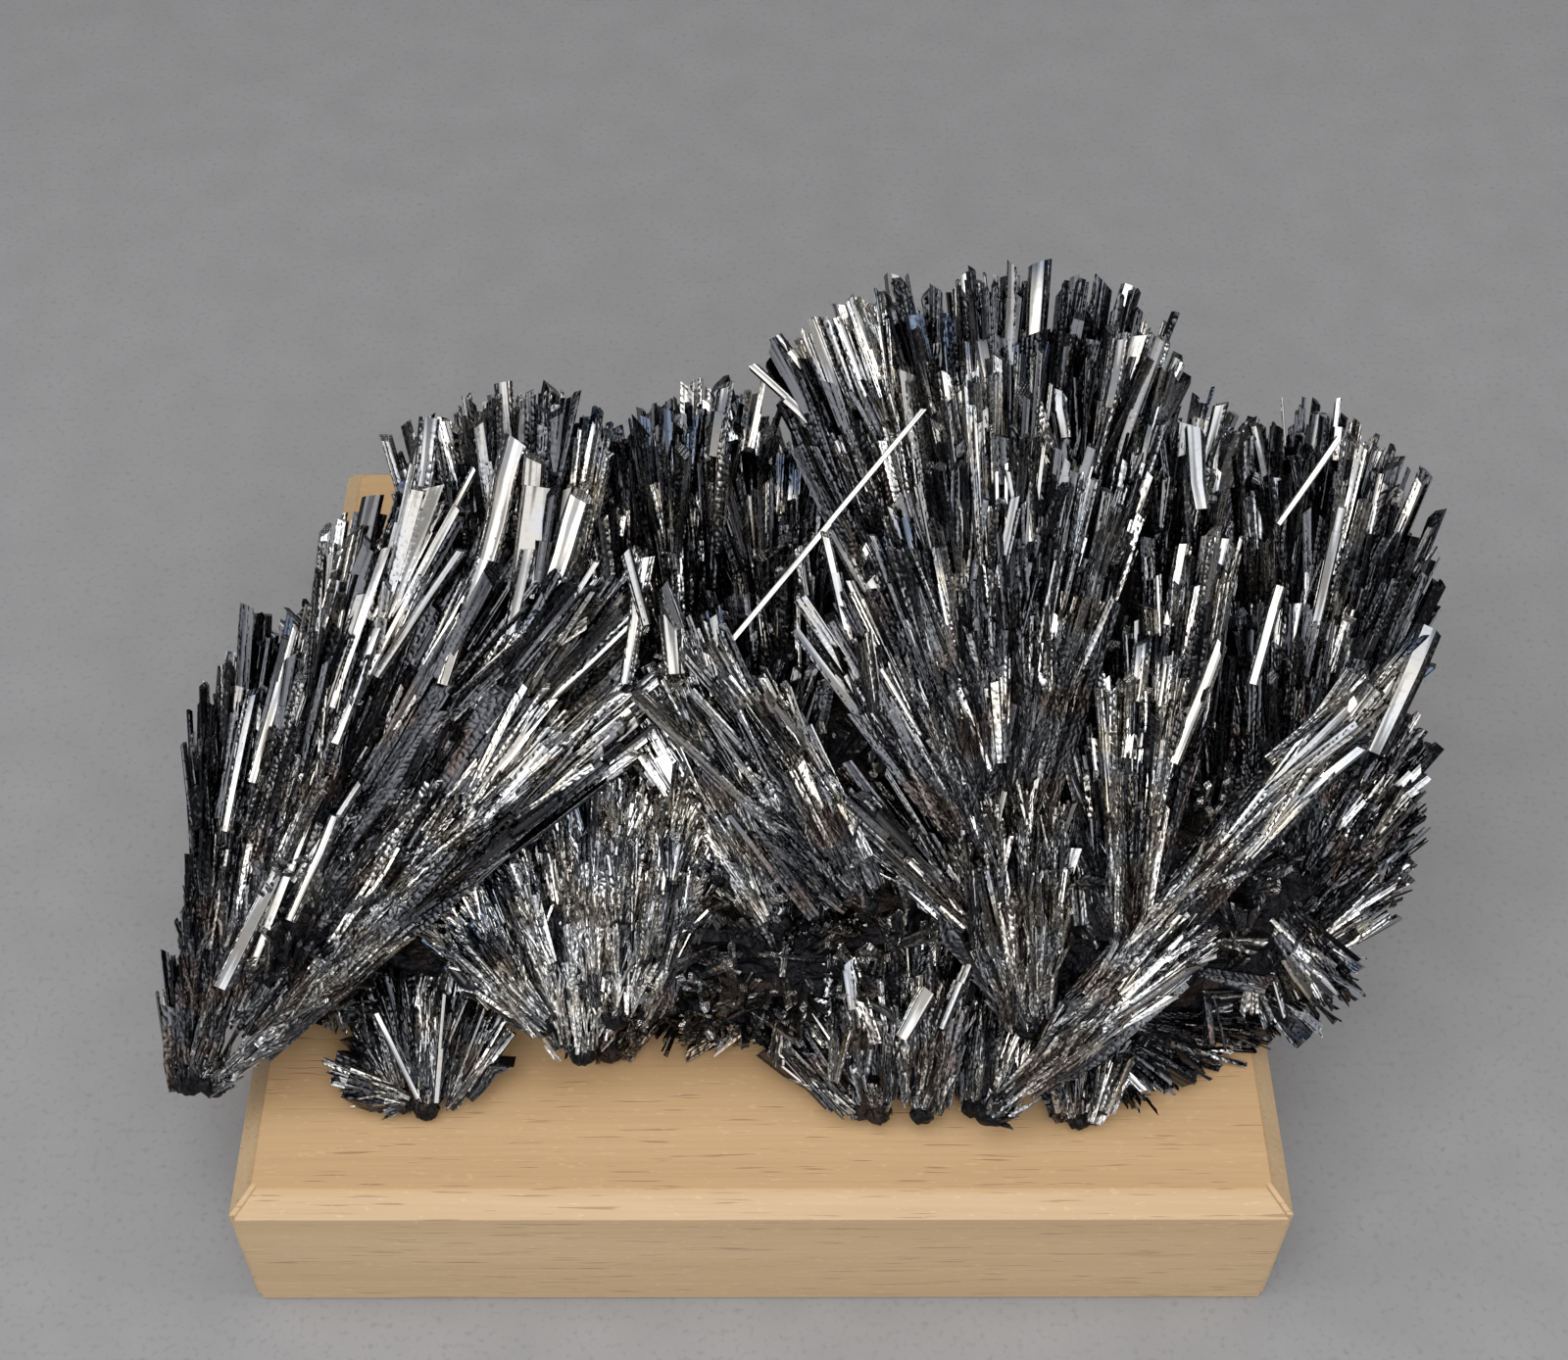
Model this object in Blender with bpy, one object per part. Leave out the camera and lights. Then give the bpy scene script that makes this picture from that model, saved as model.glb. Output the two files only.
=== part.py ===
"""Stibnite crystal spray resting on a chamfered wooden display block.

Metres, +Z up.  The origin is the centre of the block's bottom face, +X runs to the right
along the block's front edge and -Y points to the front.  The spray is one grown-together
solid: sheaves of crystals that open like fans from small roots.
"""
import math
import random
from collections import namedtuple

import bmesh
import bpy
from mathutils import Matrix, Vector

MM = 0.001

# Display block
BLOCK_WIDTH = 100 * MM
BLOCK_DEPTH = 98 * MM
BLOCK_HEIGHT = 19 * MM
BLOCK_CHAMFER = 2.15 * MM
BLOCK_CORNER_EASE = 0.5 * MM

# How the spray sits: its feet are flat where they meet the block, with a hair of air
REST_GAP = 0.3 * MM
SLIVER = 0.01 * MM          # points closer than this become one
FOOT_PLANE = BLOCK_HEIGHT + REST_GAP

# Sheaf bodies: the lower part of a fan, where its crystals are fused side by side
BODY_SIDES = 8
BODY_REACH = 0.60           # part of the way from the root to the tips
BODY_NOTCH = 0.07           # how far every other corner stands back
BODY_GROOVE = 0.72          # thickness left in the grooves between ridges
ROOT_HALF_WIDTH = 1.5 * MM
ROOT_HALF_THICKNESS = 1.1 * MM

# Principal crystals: slender prisms that leave the body and end in a slanted face
CRYSTAL_SIDES = 4
CRYSTAL_START = 0.36        # part of the way to the tip, well inside the body
CRYSTAL_TAPER = 0.55        # width at the start over width at the tip
CRYSTAL_FLATTEN = 0.7       # thickness over width
TIP_SLANT = 0.5             # rise of the end face over the crystal's radius
LAYERS = (-0.6, 0.0, 0.6)   # where crystals stand through a sheaf's half thickness
LAYER_SCATTER = 0.2
THIN_EDGE = 0.1             # a sheaf thins towards its two edges by this part of a half turn
LENGTH_SCATTER = 0.05
WIDTH_SCATTER = 0.15

LUMP_SUBDIVISIONS = 2
LUMP_ROUGHNESS = 0.1

SEED = 17

# One fan, in millimetres: its root, then the tips on its left, in its middle and on its
# right, the thickness of the sheaf, the number of principal crystals and their width.
Fan = namedtuple("Fan", "name root left middle right thickness crystals width")

FANS = [
    # the big sheaf that rises from the left foot
    Fan("left_edge", (-55, -38, 21.5), (-57, -30, 27), (-56, -26, 29), (-55, -21, 31), 4, 3, 1.5),
    Fan("left_rear", (-54, -39, 23), (-54, -11, 39), (-50, -3, 45), (-43, 1, 49), 11, 6, 1.8),
    Fan("left_mid", (-53, -39, 24), (-40, 0, 54), (-35, 4, 59), (-28, 5, 60), 7, 5, 2.2),
    Fan("left_high", (-52, -39, 24), (-26, 4, 58), (-16, -1, 57), (-10, -4, 55), 7, 5, 2.0),
    Fan("left_ridge", (-52, -40, 25), (-11, -8, 54), (-8, -12, 52), (-16, -17, 45), 5, 4, 1.8),
    Fan("left_inner", (-47, -33, 22), (-47, -11, 36), (-38, -4, 42), (-27, -8, 39), 13, 3, 1.8),
    # short fans along the front foot
    Fan("foot_left", (-32, -40, 20), (-41, -32, 24), (-33, -23, 26), (-22, -33, 23), 4, 5, 1.5),
    Fan("foot_toe", (-33, -39, 21), (-41, -34, 22), (-41, -37, 21), (-37, -39, 20.5), 2.5, 3, 1.4),
    Fan("fibre_fan", (-17, -37, 25), (-31, -28, 34), (-17, -16, 42), (-6, -20, 39), 7, 5, 1.6),
    Fan("brown_root", (-15, -34, 20.5), (-22, -29, 21), (-13, -25, 22), (-8, -27, 21), 4, 3, 1.3),
    Fan("brown_bundle", (1, -28, 22), (-9, -29, 21), (-8, -31, 20.5), (-5, -32, 20), 3, 3, 1.6),
    Fan("needles", (10, -40, 20.5), (-2, -33, 23), (1, -30, 23), (6, -27, 24), 3, 3, 1.2),
    Fan("foot_mid", (11, -41, 21), (6, -27, 31), (10, -24, 31), (16, -26, 32), 5, 3, 1.7),
    Fan("foot_mid_right", (15, -41, 21), (12, -29, 31), (17, -24, 32), (21, -31, 31), 5, 3, 1.7),
    Fan("foot_slot", (20, -40, 20.5), (18, -32, 25), (22, -25, 28), (27, -32, 24), 4, 3, 1.3),
    Fan("foot_right", (30, -41, 20), (26, -37, 22), (31, -33, 24), (36, -36, 22), 4, 3, 1.6),
    Fan("slot_mid", (1, -28, 20.5), (-8, -22, 25), (-2, -16, 28), (7, -21, 26), 6, 3, 1.5),
    # the middle
    Fan("centre_left", (2, -29, 35), (-12, -16, 41), (-9, -6, 52), (-7, -8, 52), 6, 4, 1.8),
    Fan("centre_ridge", (10, -28, 37), (-8, -17, 43), (-7, -8, 53), (2, -12, 48), 6, 4, 1.7),
    Fan("centre_inner", (-1, -15, 37), (-3, -5, 44), (2, -4, 48), (4, -7, 44), 5, 3, 1.6),
    Fan("centre_neck", (4, -12, 26), (-1, -26, 38), (5, -28, 38), (11, -26, 40), 6, 3, 1.7),
    Fan("gap_back", (1, -10, 28), (-6, 10, 46), (-1, 16, 52), (7, 16, 52), 9, 3, 1.9),
    Fan("gap_mid", (2, -16, 30), (-6, 0, 46), (1, 6, 50), (7, 3, 48), 8, 3, 1.8),
    # the great fan right of the middle
    Fan("main_trunk", (25, -36, 28), (16, -25, 39), (22, -18, 44), (29, -21, 41), 7, 4, 1.9),
    Fan("trunk_right", (30, -32, 22), (29, -21, 32), (33, -19, 34), (38, -21, 32), 6, 3, 1.6),
    Fan("main_wing", (24, -32, 32), (7, -17, 44), (9, -20, 44), (12, -23, 40), 5, 3, 1.6),
    Fan("main_left", (22, -25, 38), (5, -8, 54), (9, -1, 58), (15, 8, 65), 7, 5, 2.0),
    Fan("main_top", (23, -25, 38), (15, 8, 65), (21, 14, 70), (27, 12, 68), 7, 5, 1.9),
    Fan("main_right", (23, -24, 38), (27, 11, 66), (30, 5, 63), (35, 0, 59), 7, 5, 1.9),
    Fan("cleft", (33, -29, 33), (28, -17, 44), (29, -13, 47), (31, -14, 45), 4, 3, 1.4),
    # the right-hand side
    Fan("right_fan", (34, -34, 29), (32, -13, 49), (36, -7, 54), (45, 2, 61), 7, 5, 1.9),
    Fan("right_inner", (41, -27, 26), (37, -8, 43), (44, -5, 46), (50, -9, 41), 8, 3, 1.7),
    Fan("long_blade", (20.5, -42, 23), (57, -11, 55), (60, -10, 57), (62, -14, 53), 4, 4, 1.8),
    Fan("blade_root", (21, -42, 23), (41, -29, 39), (43, -31, 38), (42, -35, 33), 5, 3, 1.6),
    Fan("right_dark", (48, -23, 33), (41, -2, 48), (50, -1, 52), (59, -3, 49), 7, 5, 1.8),
    Fan("right_low", (45, -29, 24), (50, -18, 33), (58, -17, 35), (61, -22, 28), 8, 4, 1.7),
    Fan("right_edge", (50, -26, 29), (57, -11, 44), (65, -10, 41), (61, -24, 31), 8, 4, 1.9),
    Fan("low_spur", (48, -24, 33), (52, -30, 28), (55, -31, 27), (57, -28, 28), 4, 3, 1.5),
    Fan("fringe", (32, -32, 24), (34, -38, 20.5), (41, -36, 20.5), (53, -30, 21), 5, 5, 1.6),
    Fan("fringe_right", (44, -25, 28), (49, -31, 20.5), (55, -29, 21), (60, -23, 25), 5, 4, 1.6),
    # the crest along the back
    Fan("back_left", (-25, -16, 25), (-37, 13, 53), (-26, 19, 59), (-14, 18, 55), 9, 5, 2.2),
    Fan("back_mid", (-9, -12, 25), (-18, 17, 52), (-10, 19, 56), (-1, 20, 59), 9, 5, 2.1),
    Fan("top_left", (21, -9, 38), (-1, 20, 61), (8, 25, 65), (15, 27, 66), 9, 4, 2.2),
    Fan("top_mid", (23, -9, 38), (14, 27, 66), (20, 27, 67), (27, 28, 68), 9, 5, 2.2),
    Fan("top_right", (27, -10, 37), (28, 28, 68), (36, 26, 66), (41, 20, 60), 9, 5, 2.1),
    Fan("right_top", (39, -16, 32), (37, 14, 57), (41, 16, 60), (45, 17, 60), 7, 3, 2.0),
    Fan("right_back", (49, -17, 29), (47, 16, 56), (52, 18, 56), (58, 18, 59), 8, 4, 2.0),
    Fan("far_right", (51, -19, 29), (57, 17, 59), (64, 11, 55), (66, 1, 46), 10, 5, 2.1),
    # the rear
    Fan("rear_left", (-22, -6, 25), (-37, 24, 36), (-29, 31, 40), (-20, 34, 38), 11, 4, 2.3),
    Fan("rear_mid_left", (-8, -4, 26), (-19, 34, 38), (-9, 38, 39), (2, 39, 41), 11, 4, 2.3),
    Fan("rear_mid", (15, -2, 28), (2, 39, 43), (16, 42, 47), (30, 43, 48), 12, 4, 2.3),
    Fan("rear_right", (35, -4, 28), (30, 42, 47), (45, 37, 40), (57, 27, 42), 12, 4, 2.3),
    Fan("rear_low_left", (-15, -2, 23), (-38, 27, 27), (-31, 35, 27), (-16, 41, 28), 8, 4, 2.3),
    Fan("rear_low_mid", (10, 0, 23), (-12, 43, 27), (9, 45, 30), (28, 44, 29), 9, 4, 2.3),
    Fan("rear_low_right", (32, -2, 23), (30, 43, 28), (47, 36, 28), (60, 20, 28), 9, 4, 2.3),
    Fan("left_side", (-24, -16, 24), (-55, -9, 31), (-54, 4, 33), (-47, 13, 34), 9, 4, 2.1),
    Fan("right_side", (40, -10, 26), (60, 17, 39), (66, 4, 36), (62, -12, 30), 9, 4, 2.1),
]

# The matted middle that the sheaves grow out of: rough lumps, in millimetres
Lump = namedtuple("Lump", "centre radii")

LUMPS = [
    Lump((5, 3, 24), (43, 26, 16)),
    Lump((-30, -13, 25), (22, 15, 11)),
    Lump((-3, -16, 26), (29, 16, 12)),
    Lump((34, -15, 27), (25, 17, 13)),
    Lump((-44, -21, 29), (9, 12, 9)),
]

# Crystals that stand on their own, in millimetres: foot, tip and width.
Lone = namedtuple("Lone", "foot tip width")

LONE_CRYSTALS = [
    Lone((-8, -13, 49), (15, 9, 66), 1.3),
    Lone((-44, -18, 40), (-41, 2, 57), 2.6),
    Lone((-25, 0, 41), (-24, 11, 60), 2.6),
]

WOOD_COLOUR = (0.62, 0.42, 0.22, 1.0)
STIBNITE_COLOUR = (0.08, 0.085, 0.095, 1.0)


def clear_scene():
    """Remove every object, so that the script can be run again in the same file."""
    for thing in list(bpy.data.objects):
        bpy.data.objects.remove(thing, do_unlink=True)


def new_collection(name):
    collection = bpy.data.collections.new(name)
    bpy.context.scene.collection.children.link(collection)
    return collection


def new_material(name, colour, roughness, metallic):
    material = bpy.data.materials.new(name)
    material.use_nodes = True
    shader = material.node_tree.nodes["Principled BSDF"]
    shader.inputs["Base Color"].default_value = colour
    shader.inputs["Roughness"].default_value = roughness
    shader.inputs["Metallic"].default_value = metallic
    return material


def object_from_bmesh(name, bm, collection, material):
    mesh = bpy.data.meshes.new(name)
    bm.to_mesh(mesh)
    bm.free()
    mesh.materials.append(material)
    thing = bpy.data.objects.new(name, mesh)
    collection.objects.link(thing)
    return thing


def hide(thing):
    """Mark a piece that only joins or cuts another."""
    thing.hide_render = True
    thing.display_type = "WIRE"
    return thing


def fan_point(fan, across):
    """A point on the line of tips, from the left (0) over the middle (0.5) to the right (1)."""
    left, middle, right = (Vector(corner) for corner in (fan.left, fan.middle, fan.right))
    weight_left = (1 - across) * (1 - 2 * across)
    weight_middle = 4 * across * (1 - across)
    weight_right = across * (2 * across - 1)
    return (left * weight_left + middle * weight_middle + right * weight_right) * MM


def fan_axes(fan):
    """The fan's root, its direction across, and the direction square to its sheet."""
    root = Vector(fan.root) * MM
    across = (fan_point(fan, 1) - fan_point(fan, 0)).normalized()
    forward = (fan_point(fan, 0.5) - root).normalized()
    square = across.cross(forward).normalized()
    return root, across, square


def sheaf_body(fan):
    """The fused lower part of a fan: a ribbed wedge between a small root and a wide end."""
    root, across, square = fan_axes(fan)
    half_thickness = fan.thickness * MM / 2
    bm = bmesh.new()
    bmesh.ops.create_cone(bm, cap_ends=True, segments=BODY_SIDES, radius1=1, radius2=1, depth=2)
    for vertex in bm.verts:
        angle = math.atan2(vertex.co.y, vertex.co.x)
        corner = round(angle / math.tau * BODY_SIDES)
        ridge = corner % 2 == 0
        side = math.cos(angle)
        lift = math.sin(angle)
        if vertex.co.z < 0:
            vertex.co = root + across * side * ROOT_HALF_WIDTH + square * lift * ROOT_HALF_THICKNESS
            continue
        target = fan_point(fan, (side + 1) / 2)
        reach = BODY_REACH if ridge else BODY_REACH - BODY_NOTCH
        depth = half_thickness if ridge else half_thickness * BODY_GROOVE
        vertex.co = root.lerp(target, reach) + square * lift * depth
    end_faces = [face for face in bm.faces if len(face.verts) == BODY_SIDES]
    bmesh.ops.poke(bm, faces=end_faces)
    bmesh.ops.triangulate(bm, faces=bm.faces)
    bmesh.ops.recalc_face_normals(bm, faces=bm.faces)
    return bm


def crystal(foot, tip, width, turn):
    """One prism from foot to tip, narrow at its foot, with a slanted face at its tip."""
    axis = tip - foot
    length = axis.length
    bm = bmesh.new()
    bmesh.ops.create_cone(
        bm, cap_ends=True, segments=CRYSTAL_SIDES, radius1=width / 2 * CRYSTAL_TAPER,
        radius2=width / 2, depth=length, matrix=Matrix.Translation((0, 0, length / 2)))
    for vertex in bm.verts:
        if vertex.co.z > length / 2:
            vertex.co.z += (vertex.co.x - width / 2) * TIP_SLANT
        vertex.co.y *= CRYSTAL_FLATTEN
    place = Matrix.Translation(foot) @ axis.to_track_quat("Z", "Y").to_matrix().to_4x4()
    bmesh.ops.transform(bm, matrix=place @ Matrix.Rotation(turn, 4, "Z"), verts=bm.verts)
    return bm


def lump_body(lump, dice):
    """A rough flattened ball, grown round by the sheaves that start in it."""
    bm = bmesh.new()
    bmesh.ops.create_icosphere(bm, subdivisions=LUMP_SUBDIVISIONS, radius=1)
    for vertex in bm.verts:
        vertex.co *= dice.uniform(1 - LUMP_ROUGHNESS, 1 + LUMP_ROUGHNESS)
    bmesh.ops.scale(bm, vec=Vector(lump.radii) * MM, verts=bm.verts)
    bmesh.ops.translate(bm, vec=Vector(lump.centre) * MM, verts=bm.verts)
    return bm


def fan_crystals(fan, dice):
    """The foot, tip, width and turn of each principal crystal of a fan."""
    root, across, square = fan_axes(fan)
    half_thickness = fan.thickness * MM / 2
    for index in range(fan.crystals):
        where = index / (fan.crystals - 1)
        target = fan_point(fan, where)
        level = LAYERS[index % len(LAYERS)] + dice.uniform(-LAYER_SCATTER, LAYER_SCATTER)
        bulge = math.sin(math.pi * (THIN_EDGE + (1 - 2 * THIN_EDGE) * where))
        lift = square * level * bulge * half_thickness
        end = 1 - dice.uniform(0, LENGTH_SCATTER)
        start = CRYSTAL_START + dice.uniform(-LENGTH_SCATTER, LENGTH_SCATTER)
        foot = root.lerp(target, start) + lift * start
        tip = root.lerp(target, end) + lift
        width = fan.width * MM * dice.uniform(1 - WIDTH_SCATTER, 1 + WIDTH_SCATTER)
        yield foot, tip, width, dice.uniform(0, math.tau)


def box_mesh(width, depth, bottom, top):
    """A box centred on the Z axis, from bottom to top."""
    bm = bmesh.new()
    bmesh.ops.create_cube(bm, size=1)
    bmesh.ops.scale(bm, vec=(width, depth, top - bottom), verts=bm.verts)
    bmesh.ops.translate(bm, vec=(0, 0, (bottom + top) / 2), verts=bm.verts)
    return bm


def boolean(thing, name, operation):
    modifier = thing.modifiers.new(name, "BOOLEAN")
    modifier.operation = operation
    modifier.solver = "EXACT"
    return modifier


def island(start):
    """Every face that is joined to the start face, edge by edge."""
    found = {start}
    waiting = [start]
    while waiting:
        face = waiting.pop()
        for edge in face.edges:
            for neighbour in edge.link_faces:
                if neighbour not in found:
                    found.add(neighbour)
                    waiting.append(neighbour)
    return found


def fill_pockets(thing):
    """Apply the modifiers and keep the outer surface alone, so that closed pockets are solid."""
    view = bpy.context.evaluated_depsgraph_get()
    mesh = bpy.data.meshes.new_from_object(thing.evaluated_get(view))
    bm = bmesh.new()
    bm.from_mesh(mesh)
    bmesh.ops.triangulate(bm, faces=bm.faces)
    bmesh.ops.remove_doubles(bm, verts=bm.verts, dist=SLIVER)
    outer = island(max(bm.faces, key=lambda face: face.calc_center_median().z))
    inner = [face for face in bm.faces if face not in outer]
    bmesh.ops.delete(bm, geom=inner, context="FACES")
    bm.to_mesh(mesh)
    bm.free()
    thing.modifiers.clear()
    thing.data = mesh


def make_spray(parts, cutters, material):
    """Every lump, sheaf and crystal united in one closed solid with flat feet."""
    dice = random.Random(SEED)
    pieces = [lump_body(lump, dice) for lump in LUMPS]
    for fan in FANS:
        pieces.append(sheaf_body(fan))
        for foot, tip, width, turn in fan_crystals(fan, dice):
            pieces.append(crystal(foot, tip, width, turn))
    for lone in LONE_CRYSTALS:
        pieces.append(crystal(Vector(lone.foot) * MM, Vector(lone.tip) * MM, lone.width * MM, 0))

    spray = object_from_bmesh("crystal_spray", pieces[0], parts, material)
    grown = new_collection("grown_pieces")
    for number, bm in enumerate(pieces[1:]):
        hide(object_from_bmesh(f"grown_{number:03d}", bm, grown, material))
    union = boolean(spray, "grow_together", "UNION")
    union.operand_type = "COLLECTION"
    union.collection = grown

    cutter_mesh = box_mesh(
        BLOCK_WIDTH + 2 * REST_GAP, BLOCK_DEPTH + 2 * REST_GAP, -BLOCK_HEIGHT, FOOT_PLANE)
    cutter = hide(object_from_bmesh("feet_cutter", cutter_mesh, cutters, material))
    boolean(spray, "flat_feet", "DIFFERENCE").object = cutter
    fill_pockets(spray)


def make_block(parts, material):
    """The planed block: eased upright corners, then a chamfer round the top face."""
    bm = box_mesh(BLOCK_WIDTH, BLOCK_DEPTH, 0, BLOCK_HEIGHT)
    middle = BLOCK_HEIGHT / 2
    upright = [e for e in bm.edges if abs(e.verts[0].co.z - e.verts[1].co.z) > middle]
    bmesh.ops.bevel(bm, geom=upright, offset=BLOCK_CORNER_EASE, segments=2, affect="EDGES")
    top = [e for e in bm.edges if min(v.co.z for v in e.verts) > middle]
    bmesh.ops.bevel(bm, geom=top, offset=BLOCK_CHAMFER, segments=1, affect="EDGES")
    object_from_bmesh("wood_block", bm, parts, material)


def main():
    clear_scene()
    parts = new_collection("stibnite_crystal_spray")
    cutters = new_collection("cutters")
    make_spray(parts, cutters, new_material("stibnite", STIBNITE_COLOUR, 0.25, 0.9))
    make_block(parts, new_material("wood", WOOD_COLOUR, 0.6, 0.0))


if __name__ == "__main__":
    main()
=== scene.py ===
"""Dress the stibnite crystal spray and its wooden display block.

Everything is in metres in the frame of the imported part: +Z up, -Y to the front, the origin at
the centre of the block's bottom face.
"""
import math
from collections import namedtuple

import bmesh
import bpy
import numpy as np
from mathutils import Matrix, Vector, noise


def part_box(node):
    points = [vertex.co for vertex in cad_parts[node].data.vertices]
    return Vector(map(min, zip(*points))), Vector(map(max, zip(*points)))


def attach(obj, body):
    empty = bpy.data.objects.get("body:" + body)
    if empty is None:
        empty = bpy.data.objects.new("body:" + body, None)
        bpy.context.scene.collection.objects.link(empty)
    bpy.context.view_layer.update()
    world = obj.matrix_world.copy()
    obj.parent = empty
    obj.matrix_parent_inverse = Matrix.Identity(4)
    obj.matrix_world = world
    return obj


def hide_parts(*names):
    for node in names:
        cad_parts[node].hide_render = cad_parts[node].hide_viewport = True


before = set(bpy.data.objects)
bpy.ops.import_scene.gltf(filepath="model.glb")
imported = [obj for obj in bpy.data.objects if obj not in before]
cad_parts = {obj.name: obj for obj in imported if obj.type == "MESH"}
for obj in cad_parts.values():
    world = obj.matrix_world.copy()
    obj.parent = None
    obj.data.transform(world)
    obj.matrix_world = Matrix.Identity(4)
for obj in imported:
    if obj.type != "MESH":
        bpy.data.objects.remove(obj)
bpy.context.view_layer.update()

bl_info = {
    "name": "Stibnite Spray",
    "version": (1, 0, 0),
    "blender": (4, 5, 0),
    "location": "3D View > Sidebar > Stibnite",
    "description": "Grows the crystals of a stibnite spray and finishes its display block",
    "category": "Object",
}

MM = 0.001
BLOCK_LOW, BLOCK_HIGH = (np.array(corner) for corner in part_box("wood_block"))
REST_GAP = 0.3 * MM
FOOT_PLANE = BLOCK_HIGH[2] + REST_GAP

# Half sizes of the small blunt root that a fan's crystals leave from
ROOT_HALF_WIDTH = 1.9 * MM
ROOT_HALF_THICKNESS = 1.4 * MM
KNOB_RADII = (1.2, 1.1, 1.2)    # of the rough knob at each root, in millimetres
KNOB_RISE = 0.9                 # from the root to the middle of its knob, in millimetres
ROOT_COAT = 60                  # tiny crystals on a knob

THIN_EDGE = 0.35                # thickness of a sheaf at its edges over that in its middle
RIDGE_PITCH = 5.5 * MM          # its crystals are grouped in ridges this far apart at the tips
RIDGE_SQUEEZE = 0.64            # breadth of a ridge over that distance
RIDGE = 1.3                     # thickness on a ridge over that of the plain sheaf
VALLEY = 0.2                    # and between two ridges
CORE_PITCH = 2.6 * MM           # between the crystals, dark with painted shade, that fill a sheaf
CORE_DEPTH = 0.6                # thickness of that filling over that of the sheaf

SHORT_TUFTS = 0.35              # share of a crown's tufts that stop short of the tips
FRONT_TUFTS = 0.65              # share of the other tufts that stand on the front of a sheaf
FRONT_CRUST = 0.7               # the same for the crust
LEAST_CRUST = 30                # tiny crystals on the smallest sheaf
LOW_DARKNESS = 0.45             # how much duller the dullest crystals are at a root than at the tips
STAINED = 2                     # added to the tone of crystals that are stained brown all over

STEP_RISE = 0.004               # length of a step in a crystal over the crystal's length
TAPERED = 0.7                   # a crystal has its full width from here on, over its length
GRAIN_SPREAD = 500              # millimetres over which the crystals' grain maps are scattered

# The fans of each region, in millimetres: a fan's root, the tips on its left, in its middle and
# on its right, the thickness of the sheaf and its habit
Fan = namedtuple("Fan", "name root left middle right thickness habit")

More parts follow.
